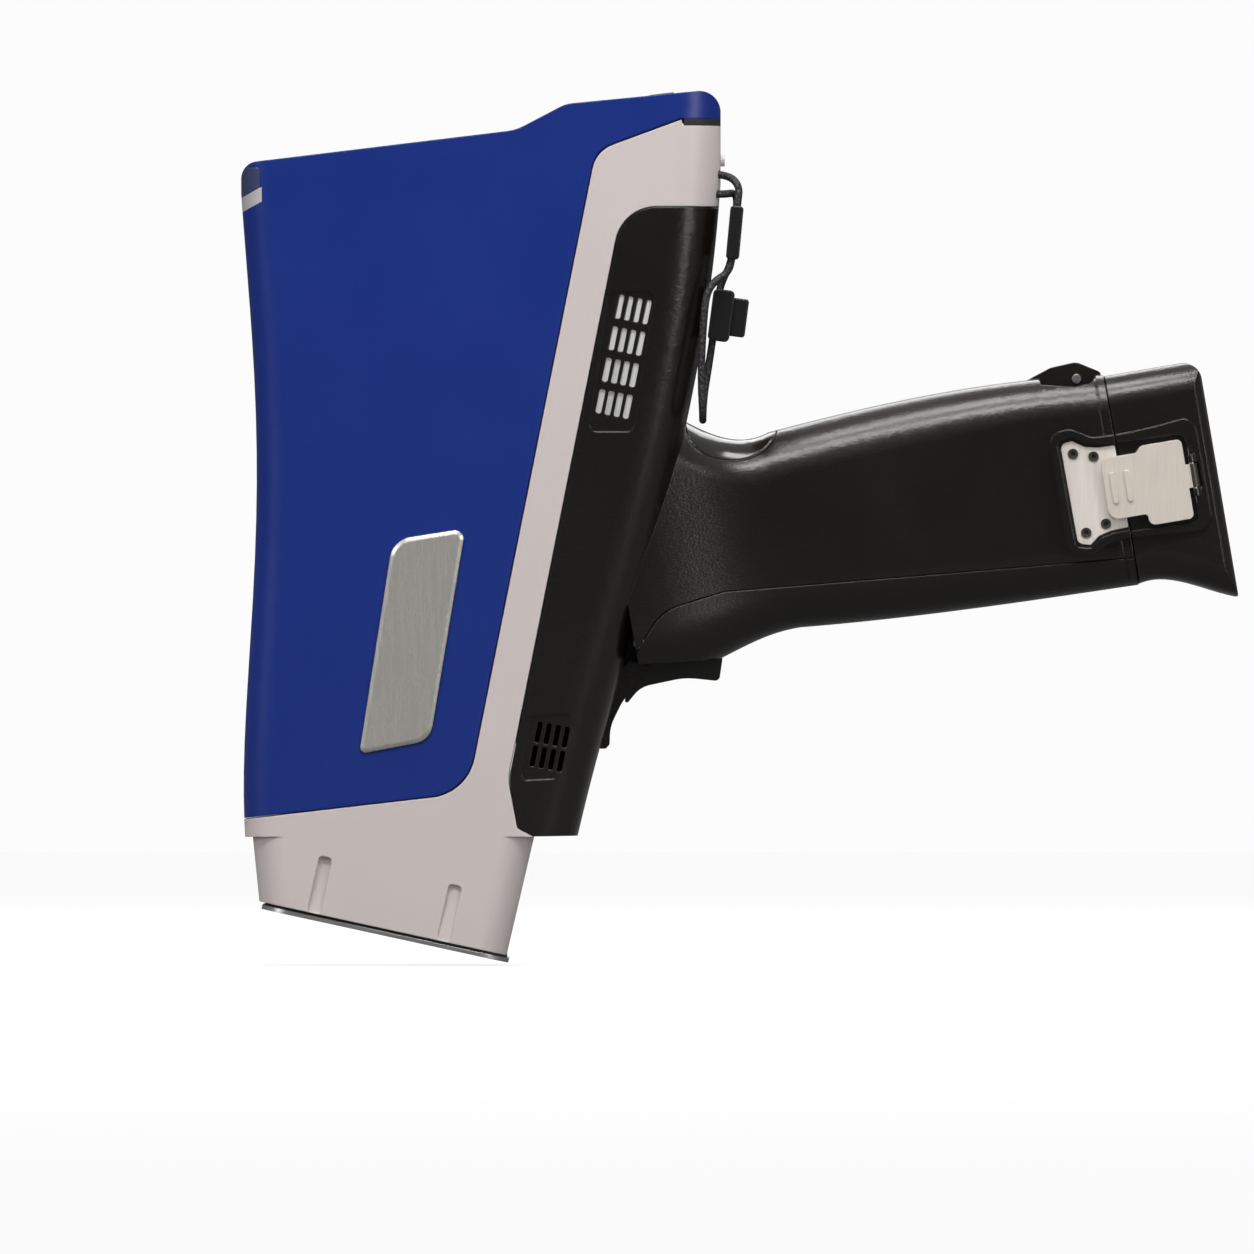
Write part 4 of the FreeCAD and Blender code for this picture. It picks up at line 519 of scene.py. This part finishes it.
# A black sheet behind the front vents: painted shade for the dark inside, which also closes the view
# through them.
shade_sheet_outline = [(0.0392, 0.0450), (0.0514, 0.0456), (0.0534, 0.0638), (0.0410, 0.0628)]
shade_sheet_depth = 0.0026
shade_sheet_thickness = 0.0004
shade_sheet = bmesh.new()
for side in (-1, 1):
    deep = min(-wall_y(x, z) for x, z in shade_sheet_outline) - shade_sheet_depth
    face = shade_sheet.faces.new([shade_sheet.verts.new((x, side * deep, z)) for x, z in shade_sheet_outline])
    bmesh.ops.solidify(shade_sheet, geom=[face], thickness=shade_sheet_thickness)
bmesh.ops.recalc_face_normals(shade_sheet, faces=shade_sheet.faces)
add_piece("vent_shade_sheet", shade_sheet, gasket_rubber_and_vent_shade, "root")

# Trigger
# A curved black lever in a slot under the front strap.
trigger_plastic = moulded("trigger_plastic", near(black, 0.95), 0.40, 0.00002, 1800.0, 0.0004)
dress("trigger", trigger_plastic)

# Seals
# Thin black rubber cords and gaskets between the mouldings.
seal_rubber = moulded("seal_rubber", (0.012, 0.012, 0.012), 0.6, 0.00002, 1500.0, 0.0001)
for node in ("cover_seal", "display_gasket", "nose_gasket", "battery_door_seal"):
    coat(node, seal_rubber)

# Display
# A dark glass over its panel, set in the slanted face of the cover.
glass = Finish("display_glass", (0.006, 0.007, 0.009), 0.06, 0.0, Coat_Weight=0.5)
smear = glass.noise(60.0, 4.0)
glass.set("Roughness", smear * 0.06 + 0.04)
dress("display_glass", glass.material)
coat("display_panel", Finish("display_panel", (0.01, 0.012, 0.016), 0.3).material)

# Keypad
# A dark plate with a ring, a centre key and three round keys in soft silicone.
keypad_plastic = moulded("keypad_plastic", (0.030, 0.030, 0.033), 0.38, 0.00001, 2000.0, 0.0003)
key_rubber = moulded("key_rubber", (0.085, 0.088, 0.095), 0.55, 0.00002, 2200.0, 0.0004)
dress("keypad_plate", keypad_plastic)
for node in ("nav_ring", "select_key", "home_key", "back_key", "power_key"):
    dress(node, key_rubber)

# Indicator
# A clear tinted lens that wraps the back edge, over a thin silver band.
lens = Finish("indicator_lens", (0.052, 0.068, 0.160), 0.16, 0.0, Coat_Weight=0.4)
depth_cloud = lens.noise(120.0, 2.0)
lens.set("Base Color", lens.tint(depth_cloud, (0.030, 0.040, 0.105), (0.052, 0.064, 0.150)))
lens.set("Normal", lens.soft_edge(0.0006))
dress("indicator_lens", lens.material)
band = Finish("silver_band", (0.62, 0.60, 0.62), 0.30, 0.35)
band.set("Roughness", band.noise(400.0) * 0.15 + 0.25)
dress("indicator_band", band.material)

# Badge plate
# A shallow bare plate in brushed grey metal, glued in a recess of the cover.
badge = Finish("badge_metal", (0.52, 0.50, 0.46), 0.30, 0.55)
brush = badge.noise(900.0, 2.0, 0.6, badge.place((1.0, 1.0, 0.03)))
badge.set("Base Color", badge.tint(brush, (0.47, 0.45, 0.415), (0.57, 0.55, 0.51)))
badge.set("Roughness", brush * 0.14 + 0.20)
badge.set("Normal", badge.relief(brush, 0.000003, badge.soft_edge(0.0006)))
badge_rim = 0.0011
badge_rise = 0.0005
step_face(dress("badge_plate", badge.material), Vector((0, -1, 0)), [(badge_rim, -badge_rise)])


def metal(name, colour, roughness, scratch, stretch=(1.0, 1.0, 0.05), metallic=1.0):
    """Worked metal: fine scratches along one way that vary its colour and gloss."""
    finish = Finish(name, colour, roughness, metallic)
    lines = finish.noise(scratch, 2.0, 0.6, finish.place(stretch))
    finish.set("Base Color", finish.tint(lines, near(colour, 0.88), near(colour, 1.10)))
    finish.set("Roughness", lines * 0.18 + (roughness - 0.09))
    finish.set("Normal", finish.relief(lines, 0.000003, finish.soft_edge(0.00025)))
    return finish.material


# Nose
# A thin steel plate held by four screws, with a film over the measuring window.
nose_steel = metal("nose_steel", (0.56, 0.56, 0.55), 0.32, 1200.0, (0.05, 1.0, 1.0))
screw_steel = metal("screw_steel", (0.44, 0.43, 0.42), 0.34, 2200.0)
dress("nose_plate", nose_steel)
dress("nose_plate_screws", screw_steel)
dress("window_film", metal("window_film", (0.46, 0.36, 0.16), 0.22, 300.0, (1.0, 1.0, 1.0), 0.3))

# Battery door latch
# A satin nickel keeper plate on four screws, and a lever on the door that reaches over it. The end
# of the lever at its hinge is coloured black as painted shade for the dark notch round the hinge.
latch_metal = metal("latch_metal", (0.80, 0.735, 0.67), 0.42, 1100.0, (1.0, 1.0, 0.06), 0.30)
lever_metal = metal("lever_metal", (0.72, 0.645, 0.575), 0.38, 1100.0, (1.0, 1.0, 0.06), 0.30)
# Black screw finish, also used as painted shade on the hinge end of the lever.
black_screw_and_hinge_shade = metal("black_screw_and_hinge_shade", (0.060, 0.050, 0.044), 0.36, 2200.0, (1.0, 1.0, 1.0), 0.5)
grip_way = Vector((0.985996, 0.0, 0.166769))
knuckle_length = 0.0020
dress("latch_plate", latch_metal)
lever_skin = dress("latch_lever", lever_metal)
lever_skin.data.materials.append(black_screw_and_hinge_shade)
lever_reach = max(vertex.co.dot(grip_way) for vertex in lever_skin.data.vertices)
lever_form = bmesh.new()
lever_form.from_mesh(lever_skin.data)
everything = list(lever_form.verts) + list(lever_form.edges) + list(lever_form.faces)
bmesh.ops.bisect_plane(lever_form, geom=everything, plane_co=grip_way * (lever_reach - knuckle_length),
                       plane_no=grip_way)
# Faces at the hinge end take the black finish: painted shade.
for face in lever_form.faces:
    if face.calc_center_median().dot(grip_way) > lever_reach - knuckle_length:
        face.material_index = 1
lever_form.to_mesh(lever_skin.data)
lever_form.free()
screw_steps = [(0.00035, 0.00012), (0.00045, 0.0), (0.00003, 0.0007)]
step_face(dress("latch_screws", black_screw_and_hinge_shade), Vector((0, -1, 0)), screw_steps)

# Pins and housing screws
# Ground steel pins for the hinges and the strap, and long screws through the two halves. The spring
# leaves room for the pulled trigger, and ends that would stand out of the walls are drawn in.
pin_steel = metal("pin_steel", (0.50, 0.50, 0.50), 0.30, 1500.0)
for node in ("lanyard_pin", "door_hinge_pin", "latch_pin", "trigger_pin"):
    dress(node, pin_steel)


def slide(piece, chosen, way):
    """Move the vertices that chosen picks by way."""
    form = bmesh.new()
    form.from_mesh(piece.data)
    bmesh.ops.translate(form, verts=[vertex for vertex in form.verts if chosen(vertex.co)], vec=way)
    form.to_mesh(piece.data)
    form.free()


spring_foot_height = 0.092
spring_room = 0.0016
port_pin_overhang = 0.0038
head_start = 0.02
head_reach = 0.004
screw_sinks = [(0.081, 0.132, 0.0065), (0.052, 0.044, 0.0025), (0.086, 0.197, 0.0010)]
spring = dress("trigger_spring", pin_steel)
slide(spring, lambda spot: spot.z < spring_foot_height, (0, 0, spring_room))
port_pin = dress("port_hinge_pin", pin_steel)
slide(port_pin, lambda spot: spot.y < 0, (0, port_pin_overhang, 0))
slide(port_pin, lambda spot: spot.y > 0, (0, -port_pin_overhang, 0))
screws = dress("housing_screws", screw_steel)
for screw_x, screw_z, sink in screw_sinks:
    slide(screws, lambda spot: (spot.y > head_start and
                                math.hypot(spot.x - screw_x, spot.z - screw_z) < head_reach),
          (0, -sink, 0))

# Battery
# A dark moulded pack that slides into the grip, and the contact block above it.
battery_case = moulded("battery_case", (0.03, 0.03, 0.03), 0.5, 0.00002, 1600.0, 0.0004)
for node in ("battery_pack", "battery_contacts"):
    coat(node, battery_case)

# Chassis, head and heat sink
# Machined aluminium parts that carry the tube, the detector and the boards.
alloy = metal("chassis_alloy", (0.58, 0.59, 0.60), 0.36, 700.0, (0.06, 1.0, 1.0))
for node in ("chassis_plate", "head_block", "heat_sink", "filter_wheel"):
    coat(node, alloy)
tube_metal = metal("tube_metal", (0.52, 0.48, 0.42), 0.28, 900.0)
for node in ("x_ray_tube", "detector", "filter_motor"):
    coat(node, tube_metal)
coat("hv_supply", metal("supply_case", (0.50, 0.50, 0.50), 0.45, 500.0, (1.0, 1.0, 1.0), 0.6))

# Boards, switch, speaker and connectors
# Green circuit boards and black moulded parts, all behind the housing walls.
board = Finish("circuit_board", (0.02, 0.13, 0.05), 0.42)
tracks = board.node("ShaderNodeTexBrick", {}, {"Vector": board.place(), "Scale": 160.0})
board.set("Base Color", board.tint(board.noise(240.0), (0.014, 0.10, 0.038), (0.030, 0.17, 0.07)))
board.set("Normal", board.relief(tracks, 0.00003))
for node in ("main_board", "trigger_board"):
    coat(node, board.material)
switch_plastic = moulded("switch_plastic", (0.03, 0.03, 0.03), 0.45, 0.00002, 1800.0, 0.0002)
for node in ("trigger_switch", "port_connectors", "speaker"):
    coat(node, switch_plastic)
